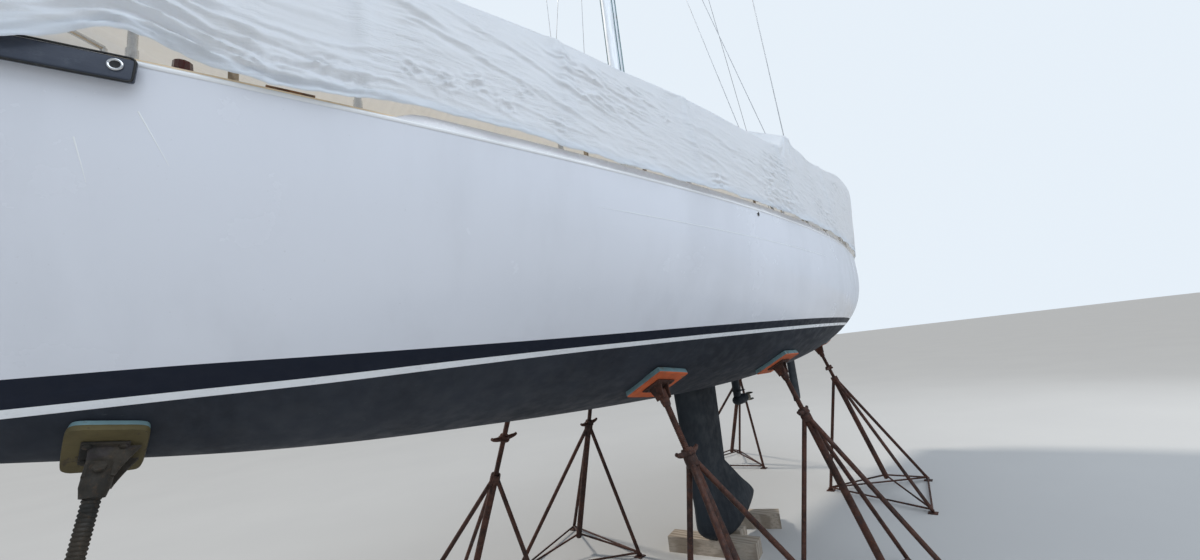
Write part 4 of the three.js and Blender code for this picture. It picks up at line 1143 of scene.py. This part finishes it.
def wall_relief(x, rise, high, side):
    """How far the hanging side of the cover stands out, at a rise over the hem."""
    low = 1 - smooth_step(high - 0.15, high - 0.05, rise)
    seed = SIDE_SEED[side]
    billow = 0.016 * np.sin(np.clip(rise / high, 0, 1) * math.pi) * (0.4 + noise(x * 0.75, 0.3 + side, seed))
    near_bow = float(smooth_step(2.6, 3.4, x))
    patch = smooth_step(0.0, 0.45, noise(x * 1.3, rise * 2.6, seed + 33))
    aft = float(smooth_step(1.9, 1.1, x))
    broad = creases(x, rise, seed + 5, 0.10, 0.42, 0.085)
    thin = creases(x, rise, seed + 9, 0.16, 0.24, 0.042)
    small = creases(x, rise, seed + 14, 0.30, 0.10, 0.030)
    puffs = np.minimum(np.abs(noise(x / 0.40, (rise - 0.11 * x) / 0.055, seed + 18)) * 2.4, 1)
    plain = float(smooth_step(2.82, 2.92, x) * smooth_step(3.5, 3.35, x)) * smooth_step(0.17, 0.25, rise)
    low = low * (1 - 0.85 * plain)
    out = billow + low * broad * (0.0028 + 0.006 * near_bow)
    out = out + low * thin * (0.002 + 0.007 * patch) + low * near_bow * 0.011 * puffs
    out = out + low * small * (0.001 + 0.0032 * patch + 0.0015 * aft * patch)
    if side > 0:
        strength = float(0.65 + 0.7 * smooth_step(2.3, 2.9, x))
        out = out + strength * low * long_folds(x, rise) + patched(x, rise)
    out = out + low * crumpled(x, rise, seed + 21)
    near_hem = np.exp(-(rise / 0.07) ** 2)
    return out + near_hem * (0.008 * noise(x * 3.1, 0.2, seed + 44) + 0.005 * noise(x * 9, 0.7, seed + 47))


def crow_feet(x, rise, at_x, at_rise, size, strength, seed):
    """Folds that fan out from one pulled point."""
    dx, dz = x - at_x, rise - at_rise
    far = np.sqrt(dx * dx + dz * dz)
    turn = np.arctan2(dz, dx)
    waves = np.cos(turn * 9 + seed) * 0.6 + np.cos(turn * 15 + 2.3 * seed) * 0.4
    return strength * waves * np.exp(-far / size) * smooth_step(0.0, 0.05, far)


def roof_relief(x, across, width, seed):
    drift = layered(x * 1.2, across * 1.1, seed + 3, 2) * 0.3
    ribs = ridged(x * 4.2 + drift * 2, across * 0.9 + drift, seed, 3) - 0.4
    small = ridged(x * 9 + drift * 3, across * 5, seed + 8, 3) - 0.4
    sag = np.sin(np.clip(across / width, 0, 1) * math.pi)
    edge = smooth_step(0.0, 0.12, across) * smooth_step(0.0, 0.10, width - across)
    hollow = 0.03 * sag * (1 + 0.5 * noise(x * 0.9, 0.5, seed + 5))
    return edge * (0.018 * ribs + 0.006 * small) * (0.5 + 0.5 * sag) - hollow


PULLED_PLACES = (0.637, 0.73, 0.817, 0.51, 0.38)
SHOULDER_BEND = 0.028
ROOF_STEP = 0.004
ROOF_CURVE = ((0, 0.0), (0.26, 0.36), (0.66, 0.78), (0.93, 0.975), (1.0, 1.0))


def uneven_edges(place, x, side, hem_rise, shoulder_rise):
    """Rises of the hem and the shoulder, with the shoulder's peak, its sag between posts and small waves."""
    seed = SIDE_SEED[side]
    shoulder_rise += 0.10 * math.exp(-((place - PEAK_PLACE) / 0.011) ** 2) * (1 if side > 0 else 0.8)
    shoulder_rise += 0.03 * math.exp(-((place - PEAK_PLACE + 0.02) / 0.03) ** 2)
    gap = np.abs(np.array(STANCHION_PLACES + PULPIT_PLACES + PUSHPIT_PLACES) - place).min()
    shoulder_rise -= 0.010 * min(gap / 0.05, 1) ** 1.5
    shoulder_rise += 0.006 * float(noise(x * 1.7, 2.2, seed + 60))
    hem_rise += 0.007 * float(noise(x * 2.3, 0.1, seed + 71)) + 0.006 * float(noise(x * 8, 0.5, seed + 72))
    hem_rise += 0.004 * float(noise(x * 23, 0.9, seed + 73))
    return hem_rise, shoulder_rise


def ring_relief(x, side, rise, high, across, width):
    """How far the points of a ring stand out, on the side, round the shoulder and on the roof."""
    wall = wall_relief(x, rise, high, side)
    for mark in PULLED_PLACES:
        near = gunwale_x(mark)
        wall += crow_feet(x, rise, near, high - 0.02, 0.09, 0.005, mark * 40)
        wall += 0.010 * math.exp(-((x - near) / 0.03) ** 2) * smooth_step(0.12, 0.5, rise / high)
    wall += crow_feet(x, rise, gunwale_x(PEAK_PLACE), high + 0.02, 0.20, 0.013, 1.7)
    stern = smooth_step(-3.6, -4.4, x)
    wall += 0.012 * stern * noise(x * 7, rise * 1.5, 9) * smooth_step(0.02, 0.2, rise)
    bend = wall[-1] * np.linspace(1, 0, BEND_ROWS + 1)[1:]
    return np.concatenate([wall, bend, roof_relief(x, across, width, SIDE_SEED[side] + 80)])


def cover_ring(place, side):
    """Points from the hem up the side, over the shoulder and up to the ridge, on one side."""
    columns = (HEM, SHOULDER, RIDGE, INSET, FLARE)
    hem_rise, shoulder_rise, ridge_rise, inset, flare = (
        float(table_value(COVER_SECTIONS, column, place)) for column in columns
    )
    base = float(sheer_height(place))
    x = float(lengthwise(place, base))
    half = max(float(hull_value(BREADTH, place)), 0.17)
    hem_rise, shoulder_rise = uneven_edges(place, x, side, hem_rise, shoulder_rise)
    hem_y = half + flare
    shoulder_y = max(half - inset, half * 0.7)
    high = shoulder_rise - hem_rise
    rises = hem_rise + (high - SHOULDER_BEND) * np.linspace(0, 1, SIDE_ROWS[side])
    ys = hem_y + (shoulder_y - hem_y) * (rises - hem_rise) / high
    turns = np.linspace(0, 1, BEND_ROWS + 1)[1:] * 0.5 * math.pi
    bend_z = hem_rise + high - SHOULDER_BEND + SHOULDER_BEND * np.sin(turns)
    bend_y = shoulder_y - SHOULDER_BEND * (1 - np.cos(turns)) - ROOF_STEP
    share = np.linspace(0, 1, ROOF_ROWS + 1)[1:]
    width = shoulder_y - SHOULDER_BEND - ROOF_STEP
    top_y = width * (1 - share)
    climb = np.interp(share, *zip(*ROOF_CURVE))
    top_z = shoulder_rise + (ridge_rise - shoulder_rise) * (share * (2 - share) * 0.5 + climb * 0.5)
    ys = side * np.concatenate([ys, bend_y, top_y])
    zs = base + np.concatenate([rises, bend_z, top_z])
    points = np.stack([np.full(len(ys), x), ys, zs], axis=-1)
    return points, ring_relief(x, side, rises - hem_rise, high, width - top_y, width)


def cover_half(places, side):
    rings, reliefs = zip(*[cover_ring(float(p), side) for p in places])
    points, relief = np.array(rings), np.array(reliefs)
    along = np.gradient(points, axis=0)
    up = np.gradient(points, axis=1)
    normal = np.cross(along, up)
    normal /= np.maximum(np.linalg.norm(normal, axis=-1), 1e-9)[..., None]
    if normal[len(places) // 2, 10, 1] * side < 0:
        normal = -normal
    return points + normal * relief[..., None], normal


def with_hem(points, normal):
    """The cloth turned in at its hem, as a doubled band inside it."""
    inner = points[:, 6:0:-2] - normal[:, 6:0:-2] * 0.004
    edge = points[:, :1] - normal[:, :1] * 0.002 - UP * 0.003
    return np.concatenate([inner, edge, points], axis=1)


def around_mast(points, ahead):
    """Pushes the cloth clear of the mast, into a snug round hole."""
    sign = 1 if ahead else -1
    dx, dy = points[..., 0] - (MAST_X - sign * 0.012), points[..., 1]
    far = np.maximum(np.sqrt((dx / 0.102) ** 2 + (dy / 0.072) ** 2), 1e-4)
    near = (far < 2.6) & (points[..., 2] > 3.7)
    push = np.where(near, (1 + (far / 2.6) * 1.6) / far, 1.0)
    points[..., 0] = MAST_X - sign * 0.012 + dx * push
    points[..., 1] = dy * push
    return points


def evenly(ring, count=110):
    """The points of a row at even distances along it."""
    run = np.concatenate([[0], np.cumsum(np.linalg.norm(np.diff(ring, axis=0), axis=1))])
    at = np.linspace(0, run[-1], count)
    return np.stack([np.interp(at, run, ring[:, k]) for k in range(3)], axis=-1)


def end_panel(shape, port, starboard, reach, seed, flip):
    """The cloth that closes an end, hung between the port and starboard edges."""
    port, starboard = evenly(port), evenly(starboard)
    share = np.linspace(0, 1, 46)[None, :, None]
    points = port[:, None, :] * (1 - share) + starboard[:, None, :] * share
    span = np.sin(share[..., 0] * math.pi) ** 0.5
    height = points[..., 2] - points[0, :, 2][None, :]
    folds = 0.02 * (ridged(points[..., 1] * 4, height * 1.2, seed, 3) - 0.4)
    folds = folds + 0.012 * noise(points[..., 1] * 2, height * 3, seed + 4)
    points[..., 0] += math.copysign(1, reach) * folds * span + reach * span
    shape.grid(points, flip=flip)


COVER_ENDS = (0.004, 0.985)


def gathered_stern(points, side, places):
    """The aft half drawn in at its end, where it turns the corner."""
    turn = smooth_step(0, 0.008, places - COVER_ENDS[0])[:, None]
    points[..., 1] -= side * 0.045 * (1 - turn)
    points[..., 0] -= 0.048 * smooth_step(0.10, 0.0, places)[:, None]


def build_cover():
    """The cover in two pieces that meet at the mast."""
    split = float(place_of(MAST_X))
    sections = (
        ("fore", split, COVER_ENDS[1], 0.012, 91),
        ("aft", COVER_ENDS[0], split, -0.03, 97),
    )
    for name, first, last, reach, seed in sections:
        places = cover_columns(first, last)
        ahead = name == "fore"
        shape = Shape()
        halves, edges = [], []
        for side in SIDES.values():
            points, normal = cover_half(places, side)
            if not ahead:
                gathered_stern(points, side, places)
            points = around_mast(points, ahead)
            halves.append(with_hem(points, normal))
            edges.append(points[-1] if ahead else points[0])
        shape.grid(np.concatenate([halves[0], halves[1][:, ::-1][:, 1:]], axis=1), flip=True)
        end_panel(shape, *edges, reach, seed, not ahead)
        piece = add_piece(f"cover_{name}", shape, [CLOTH], ["cover"], angle=75)


# Padded board on the port bow
BOARD_PLACES = (0.877, 0.952)
BOARD_HEIGHT = 0.08
BOARD_THICKNESS = 0.024
BOARD_DROP = 0.04


def build_board():
    """The cloth pad with a rubber edging and a steel eye at its aft end."""
    aft, fore = (gunwale(place) for place in BOARD_PLACES)
    run = unit(fore - aft)
    out = unit((-run[1], run[0], 0))
    up = np.cross(run, out)
    middle = (aft + fore) / 2 + out * 0.018 - UP * BOARD_DROP
    length = float(np.linalg.norm(fore - aft))
    shape = Shape()
    size = (length, BOARD_THICKNESS - 0.004, BOARD_HEIGHT - 0.006)
    block(shape, middle, size, (run, out, up), 0.009, 0, 4)
    corners = [
        middle + run * a * (length / 2 - 0.002) + up * b * (BOARD_HEIGHT / 2 - 0.002) + out * 0.009
        for a, b in ((-1, -1), (-1, 1), (1, 1), (1, -1))
    ]
    foot = (corners[0] + corners[3]) / 2
    tube(shape, rounded_path([foot, *corners, foot], 0.016), 0.0034, 8, look=1, caps=False)
    eye = aft + run * 0.043 + out * 0.0295 - UP * 0.033
    turns = np.linspace(0, 2 * math.pi, 33)[:-1]
    ring = [eye + (run * math.cos(turn) + up * math.sin(turn)) * 0.0155 for turn in turns]
    tube(shape, ring + ring[:1], 0.0042, 10, look=2, caps=False)
    # A dark disc in the middle of the eye: painted shade for its hole.
    lathe(shape, [(0.0008, 0.0), (0.0008, 0.0120), (0.0015, 0.0145)], eye, out, 24, look=1)
    looks = [BOARD_CLOTH, RUBBER_AND_HOLE_SHADE, STEEL]
    board = add_piece("fender_board_pad", shape, looks, ["fender_board"], angle=50)


# Jack stands: name, place along the hull, how far round its section, side, how far forward and
# outboard of the pad the foot stands, turn of the base in degrees, share of the stand's length at
# the top of its tube, share of the bare screw at its nut
STANDS = [
    ("bow", 0.918, 0.78, 1, 0.34, 0.31, 20, 0.29, 0.92),
    ("fore_port", 0.66, 0.6, 1, 0, 0.64, 27, 0.24, 0.92),
    ("mid_port", 0.505, 0.52, 1, -0.06, 0.58, 63, 0.23, 0.92),
    ("stern_port", 0.23, 0.68, 1, -0.11, 0.53, 36, 0.22, 0.55),
    ("fore_starboard", 0.668, 0.62, -1, 0, 0.85, 119, 0.35, 0.40),
    ("mid_starboard", 0.54, 0.6, -1, -0.1, 0.55, 105, 0.22, 0.92),
    ("stern_starboard", 0.15, 0.68, -1, -0.4, 0.7, 70, 0.25, 0.92),
]
FOOT_RADIUS = 0.69
PAD_THICKNESS = 0.036
PAD_BEDDING = 0.004
TUBE_RADIUS = 0.0285
TIE_RADIUS = 0.0098
SLEEVE_LENGTH = 0.12

# Sizes of the pad, its plate, the ears, sleeve and screw: the bow stand's and the others'
HEADS = {
    "bow": {"pad": (0.200, 0.185), "plate": (0.100, 0.110), "ear": (0.060, 0.036), "apart": 0.030,
            "sleeve": 0.036, "screw": 0.0225, "pitch": 0.0125},
    "plain": {"pad": (0.300, 0.300), "plate": (0.150, 0.170), "ear": (0.052, 0.030), "apart": 0.036,
              "sleeve": 0.030, "screw": 0.0205, "pitch": 0.0105},
}


def threaded(shape, start, end, radius, pitch, sides=18, look=0):
    """A coarse screw thread between two points."""
    axis = unit(end - start)
    first, second = cross_frame(axis)
    length = float(np.linalg.norm(end - start))
    rows = int(length / pitch * 5) + 2
    along = np.linspace(0, length, rows)[:, None]
    turn = (np.arange(sides) / sides)[None, :]
    phase = (along / pitch + turn) % 1.0
    depth = radius * 0.13
    size = radius - depth * smooth_step(0.18, 0.42, np.abs(phase - 0.5))
    angle = turn * 2 * math.pi
    points = (np.asarray(start) + along[..., None] * axis
              + (size * np.cos(angle))[..., None] * first + (size * np.sin(angle))[..., None] * second)
    shape.grid(points, look, wrap=True)


def bedded(flat, normal):
    """How far each point of a pad's top stands out so that the pad lies on the hull's skin."""
    out = np.full(flat.shape[:-1], -PAD_BEDDING)
    lean = max(abs(normal[1]), 0.35)
    for _ in range(3):
        top = flat + normal * out[..., None]
        place = place_of(top[..., 0])
        for _ in range(4):
            place = place + (top[..., 0] - lengthwise(place, top[..., 2])) / (LENGTH * 0.95)
        skin = hull_point(place, around_at(place, top[..., 2]))[..., 1]
        inside = skin - np.abs(top[..., 1])
        out = np.where(inside > -0.0004, out + np.maximum(inside + 0.0004, 0) * lean, out)
    return np.clip(out, -PAD_BEDDING, 0.02)


def build_pad(name, touch, normal, head):
    """A square board with worn edges, bedded on the hull."""
    first, second = cross_frame(normal, (1, 0, 0))
    bow = name == "bow"
    ticks = np.linspace(-1, 1, 31)
    u, v = np.meshgrid(ticks, ticks, indexing="ij")
    corner = 0.6 if bow else 0.93
    square = np.maximum(np.abs(u), np.abs(v))
    soft = (np.abs(u) ** 8 + np.abs(v) ** 8) ** (1 / 8)
    pull = np.where(soft > 1e-6, square / np.maximum(soft, 1e-6), 1.0)
    blend = np.clip((square ** 6) * (1 - corner) * 3, 0, 1)
    u, v = u * (1 + (pull - 1) * blend), v * (1 + (pull - 1) * blend)
    rough = 0.0022 * layered(u * 5, v * 5, 7 + len(name), 3)
    half = np.array(head["pad"]) / 2
    flat = touch + first * (u * half[0])[..., None] + second * (v * half[1])[..., None]
    top = flat + normal * bedded(flat, normal)[..., None]
    bottom = flat + normal * (PAD_THICKNESS - PAD_BEDDING + rough * 0.4)[..., None]
    shape = Shape()
    shape.grid(top, 1)
    shape.grid(bottom, flip=True)
    rim_top, rim_low = (
        np.concatenate([face[:, 0], face[-1, 1:], face[::-1, -1][1:], face[0, ::-1][1:-1]])
        for face in (top, bottom)
    )
    center = touch + normal * PAD_THICKNESS / 2
    rings = []
    for share in np.linspace(0, 1, 7):
        bulge = 0.0025 * math.sin(math.pi * share) + 0.0008 * math.sin(share * 31)
        ring = rim_top * (1 - share) + rim_low * share
        away = ring - center
        away -= np.outer(away @ normal, normal)
        rings.append(ring + away / np.linalg.norm(away, axis=1)[:, None] * bulge)
    bands = np.array([1, 1, 1, 0, 0, 0] if bow else [1, 1, 1, 1, 1, 0])
    shape.grid(np.array(rings), np.tile(bands[:, None], (1, len(rim_top))), wrap=True)
    looks = [OLIVE if bow else ORANGE, EDGE]
    add_piece(f"pad_{name}_board", shape, looks, [f"pad_{name}"], angle=50)


EAR_REACH = 0.085
BOLT_HEAD = [(-0.001, 0.011), (0.004, 0.011), (0.0065, 0.008), (0.0072, 0.0)]
PIN_HEAD = [(0, 0.0), (0, 0.017), (0.009, 0.017), (0.010, 0.0)]


def stand_ears(shape, root, normal, aim, head, bow, look):
    """The two ears that carry the pivot, and its pin."""
    first, second = cross_frame(normal, (1, 0, 0))
    wide = second if bow else first
    thin = np.cross(normal, wide)
    top, low = head["ear"]
    for sign in (-1, 1):
        rows = []
        for s in np.linspace(0, 1, 9):
            width = wide * (top * (1 - s) ** 1.4 + low * (1 - (1 - s) ** 1.4))
            center = root + thin * sign * head["apart"] + normal * 0.008 + aim * EAR_REACH * s
            if bow:
                center = center - second * 0.022 * (1 - s)
            half = thin * 0.0045
            near, far = center - half, center + half
            rows.append([near - width, near + width, far + width, far - width])
        rows = np.array(rows)
        shape.grid(rows, look, wrap=True)
        shape.fan(rows[-1], rows[-1].mean(axis=0), look)
    pin = root + normal * 0.02 + aim * 0.058
    tube(shape, [pin - thin * 0.052, pin + thin * 0.052], 0.010, 12, look)
    for end in (-1, 1):
        lathe(shape, PIN_HEAD, pin + thin * end * 0.044, thin * end, 6, look)


def stand_head(shape, root, start, normal, aim, head, bow, look):
    """The plate under the pad with its bolts, the ears of the pivot and the sleeve of the screw."""
    first, second = cross_frame(normal, (1, 0, 0))
    plate = head["plate"]
    block(shape, root + normal * 0.005, (*plate, 0.010), (first, second, normal), 0.003, look)
    for a in (-1, 1):
        for b in (-1, 1):
            at = root + first * a * plate[0] * 0.37 + second * b * plate[1] * 0.37 + normal * 0.010
            lathe(shape, BOLT_HEAD, at, normal, 10, look)
    stand_ears(shape, root, normal, aim, head, bow, look)
    wall = head["sleeve"]
    sleeve = [(0.012, 0.0), (0.014, wall * 0.9), (0.02, wall), (0.088, wall), (0.094, wall * 0.95),
              (0.118, wall * 0.82), (0.12, head["screw"] * 0.93)]
    lathe(shape, sleeve, start, aim, 20, look)


NUT_PROFILE = [(-0.030, 0.021), (-0.030, 0.033), (-0.026, 0.036), (-0.006, 0.038), (-0.004, 0.046),
               (0.010, 0.047), (0.014, 0.044), (0.016, 0.030)]
COLLAR_PROFILE = [(-0.014, 0.029), (-0.014, 0.039), (0.012, 0.041), (0.05, 0.0405), (0.056, 0.034),
                  (0.058, 0.0285)]


def wing_nut(shape, nut, aim):
    """The nut that carries the screw, with a rim and two cast wings."""
    lathe(shape, NUT_PROFILE, nut, aim)
    swing, _ = cross_frame(aim, (0, 1, 0.2))
    rows = ((-0.125, 0.020), (-0.10, 0.008), (-0.03, 0), (0.03, 0), (0.10, 0.008), (0.125, 0.020))
    path = smooth_path([nut + swing * out - aim * drop for out, drop in rows], 5)
    share = np.abs(np.linspace(-1, 1, len(path)))
    tube(shape, path, 0.019 - 0.007 * smooth_step(0.2, 0.9, share))


def tripod(shape, collar, aim, brace, base, turn):
    """Three legs on foot plates, tied to each other and to the end of the tube."""
    feet = []
    for k in range(3):
        angle = math.radians(turn + 120 * k)
        feet.append(base + np.array([FOOT_RADIUS * math.cos(angle), FOOT_RADIUS * math.sin(angle), 0.008]))
    root = collar + aim * 0.028
    lift = UP * 0.03
    for foot, following in zip(feet, feet[1:] + feet[:1]):
        away = unit((foot - root) - aim * np.dot(foot - root, aim))
        tube(shape, [root + away * 0.022, foot + UP * 0.016], 0.018, 14)
        out = unit((foot - base) * [1, 1, 0])
        rib = (out, (-out[1], out[0], 0), UP)
        block(shape, foot - UP * 0.004, (0.088, 0.088, 0.008), radius=0.0025, steps=1)
        block(shape, foot + UP * 0.014, (0.05, 0.012, 0.028), rib, 0.003, steps=1)
        run = unit(following - foot)
        tube(shape, [foot + lift + run * 0.012, following + lift - run * 0.012], TIE_RADIUS, 10)
        tube(shape, [brace, foot + lift], TIE_RADIUS, 10)
        tube(shape, [root + away * 0.03 - aim * 0.004, root + away * 0.052 + aim * 0.05], 0.010, 10)


def build_stand(name, place, around, side, forward, reach, turn, top, nut_share):
    """A pad with its head, screw and wing nut, and the tube and tripod under them."""
    touch = hull_point(place, around, side)
    normal = hull_normal(place, around, side)
    bow = name == "bow"
    head = HEADS["bow" if bow else "plain"]
    build_pad(name, touch, normal, head)
    dark = 1 if bow else 0
    root = touch + normal * (PAD_THICKNESS - PAD_BEDDING + SEAT_GAP)
    start = root + normal * 0.02
    base = np.array([touch[0] + forward, touch[1] + side * reach, 0])
    axis = base - start
    aim = unit(axis)
    collar = start + axis * top
    shape = Shape()
    stand_head(shape, root, start, normal, aim, head, bow, dark)
    threaded(shape, start + aim * 0.11, collar + aim * 0.03, head["screw"], head["pitch"], look=dark)
    bare = float(np.linalg.norm(collar - start)) - SLEEVE_LENGTH
    wing_nut(shape, start + aim * (SLEEVE_LENGTH + bare * nut_share), aim)
    lathe(shape, COLLAR_PROFILE, collar, aim, 22)
    end = start + axis * 0.9
    tube(shape, [collar, end], TUBE_RADIUS, 20)
    lathe(shape, [(0, TUBE_RADIUS), (0.004, 0.024), (0.005, 0.0)], end, aim)
    tripod(shape, collar, aim, start + axis * 0.88, base, turn)
    add_piece(f"stand_{name}_steel", shape, [RUST, DARK_STEEL], [f"stand_{name}"], angle=38)


# Finish on the CAD pieces that stay as they are: material, width of the soft edge, nodes
CAD_FINISHES = (
    (DECK_PAINT, 0.003, ["deck"]),
    (DECK_PAINT, 0.02, ["coachroof"]),
    (STEEL, 0.002, ["stem_fitting"]),
    (STEEL, 0.002, [f"cleat_{end}_{side}" for end in ("bow", "stern") for side in SIDES]),
    (TIMBER, 0.002, ["cover_pole_fore", "cover_pole_aft"]),
    (TIMBER, 0.006, ["keel_timber_fore", "keel_timber_mid", "keel_timber_aft"]),
    (RED_LENS, 0.002, ["sidelight_port"]),
    (GREEN_LENS, 0.002, ["sidelight_starboard"]),
)


def finish_cad():
    for material, width, names in CAD_FINISHES:
        for name in names:
            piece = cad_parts[name]
            piece.data.materials.clear()
            piece.data.materials.append(material)
            bevel = piece.modifiers.new("soft_edges", "BEVEL")
            bevel.width = width
            bevel.segments = 3
            bevel.limit_method = "ANGLE"
            bevel.angle_limit = math.radians(35)


# Details of the port side: ends of the wooden trims, place and drop of the drain, and the place and
# height of both ends of the scratches on the bow
TRIM_ENDS = ((0.832, 0.846), (0.7435, 0.7475))
DRAIN_PLACE = 0.574
DRAIN_DROP = 0.030
SCRATCHES = [((0.8985, 2.745), (0.900, 2.62)), ((0.882, 2.835), (0.880, 2.68))]


def port_skin(place, z):
    """A point of the port topsides at a height, and the direction out of it."""
    around = float(around_at(place, z))
    return hull_point(place, around), hull_normal(place, around, 1)


def build_details():
    trim, outlet, scratches = Shape(), Shape(), Shape()
    for start, end in TRIM_ENDS:
        path = [gunwale(place, 1, 0.032, 0.034) for place in np.linspace(start, end, 8)]
        tube(trim, path, 0.0085, 10, flat=0.8)
    add_piece("gunwale_trim", trim, [TEAK])
    at, out = port_skin(DRAIN_PLACE, sheer_height(DRAIN_PLACE) - DRAIN_DROP)
    flange = [(-0.004, 0.016), (0.0015, 0.0165), (0.003, 0.015), (0.0035, 0.0142), (0.001, 0.0135)]
    lathe(outlet, flange, at, out, 24)
    # A dark disc inside the flange: painted shade for the drain's opening.
    lathe(outlet, [(0.0008, 0.0), (0.0008, 0.0138)], at, out, 20, look=1)
    add_piece("deck_drain", outlet, [STEEL, RUBBER_AND_HOLE_SHADE])
    for start, end in np.array(SCRATCHES):
        path = []
        for share in np.linspace(0, 1, 12):
            at, out = port_skin(*(start + (end - start) * share))
            path.append(at + out * 0.0002)
        tube(scratches, path, np.linspace(0.0024, 0.0007, 12), 8, flat=0.25, hint=out)
    add_piece("topside_scratches", scratches, [GELCOAT_HIGHLIGHT_AND_SCRATCHES])


# Camera, fitted to the photograph: place, angles, and focal length in pixels of the photograph
CAMERA_PLACE = (3.76, 2.33, 1.965)
CAMERA_YAW = 0.6648
CAMERA_PITCH = 0.1615
CAMERA_ROLL = -0.1153
FOCAL_PIXELS = 468.84
PHOTO_WIDTH = 1200
SENSOR_WIDTH = 36


def add_camera():
    yaw, pitch, roll = CAMERA_YAW, CAMERA_PITCH, CAMERA_ROLL
    level = Vector((-math.cos(yaw), -math.sin(yaw), 0))
    up = Vector((0, 0, 1))
    right = level.cross(up)
    forward = level * math.cos(pitch) + up * math.sin(pitch)
    lifted = up * math.cos(pitch) - level * math.sin(pitch)
    across = right * math.cos(roll) + lifted * math.sin(roll)
    upward = lifted * math.cos(roll) - right * math.sin(roll)
    data = bpy.data.cameras.new("camera")
    data.sensor_width = SENSOR_WIDTH
    data.lens = SENSOR_WIDTH * FOCAL_PIXELS / PHOTO_WIDTH
    data.clip_start = 0.02
    data.clip_end = 200
    camera = add_object("camera", data)
    turn = Matrix((across, upward, -forward)).transposed().to_4x4()
    camera.matrix_world = Matrix.Translation(CAMERA_PLACE) @ turn
    bpy.context.scene.camera = camera


# Sky that lights the scene and sky that shows behind it, each a color and a strength
SKY_LIGHT = ((0.80, 0.89, 1.0, 1), 0.54)
SKY_SEEN = ((0.84, 0.92, 1.0, 1), 0.95)
SUN_ENERGY = 2.05
SUN_AIM = (-0.25, 1.0, -1.15)
FLOOR_REACH = 300


def add_light(name, kind, place, aim, energy, color):
    data = bpy.data.lights.new(name, kind)
    data.energy = energy
    data.color = color
    lamp = add_object(name, data)
    turn = Vector(aim).to_track_quat("-Z", "Y").to_matrix().to_4x4()
    lamp.matrix_world = Matrix.Translation(place) @ turn
    return lamp


def add_area(name, place, target, size, energy, color):
    lamp = add_light(name, "AREA", place, Vector(target) - Vector(place), energy, color)
    lamp.data.shape = "RECTANGLE"
    lamp.data.size, lamp.data.size_y = size
    return lamp


def add_world():
    world = bpy.data.worlds.new("pale_sky")
    bpy.context.scene.world = world
    world.use_nodes = True
    tree = world.node_tree
    lighting = tree.nodes["Background"]
    seen = tree.nodes.new("ShaderNodeBackground")
    for node, (color, strength) in ((lighting, SKY_LIGHT), (seen, SKY_SEEN)):
        node.inputs["Color"].default_value = color
        node.inputs["Strength"].default_value = strength
    path = tree.nodes.new("ShaderNodeLightPath")
    blend = tree.nodes.new("ShaderNodeMixShader")
    tree.links.new(path.outputs["Is Camera Ray"], blend.inputs[0])
    tree.links.new(lighting.outputs[0], blend.inputs[1])
    tree.links.new(seen.outputs[0], blend.inputs[2])
    tree.links.new(blend.outputs[0], tree.nodes["World Output"].inputs["Surface"])


def add_lights():
    """A soft sun, a wide fill over the port side and one at the stern that no surface mirrors."""
    sun = add_light("soft_sun", "SUN", (0, 0, 0), SUN_AIM, SUN_ENERGY, (1.0, 0.93, 0.82))
    sun.data.angle = math.radians(7)
    add_area("port_fill", (2.4, 6.8, 10.4), (0.6, 0.8, 2.6), (13, 8), 660, (0.86, 0.93, 1.0))
    stern = add_area("stern_fill", (-9.5, 7.0, 6.5), (-3.0, 1.2, 3.3), (7, 6), 240, (0.92, 0.96, 1.0))
    stern.visible_glossy = False


def add_floor():
    shape = Shape()
    ticks = np.linspace(-FLOOR_REACH, FLOOR_REACH, 3)
    x, y = np.meshgrid(ticks, ticks, indexing="ij")
    shape.grid(np.stack([x, y, np.zeros_like(x)], axis=-1))
    look = Look("floor_pale")
    shades = look.mix(look.noise(0.5, 4), (0.47, 0.47, 0.47, 1), (0.52, 0.52, 0.515, 1))
    look.set(Base_Color=shades, Roughness=0.9)
    plane = add_object("floor", shape.mesh("floor", [look.material]))


build_hull()
build_rim()
build_toe_rails()
build_knuckle_highlight()
build_keel()
build_rudder()
build_drive()
build_propeller()
build_guardrails()
build_end_rails()
build_rig()
build_cover()
build_board()
for row in STANDS:
    build_stand(*row)
finish_cad()
build_details()
add_world()
add_lights()
add_floor()
add_camera()
bpy.context.scene.view_settings.view_transform = "Standard"
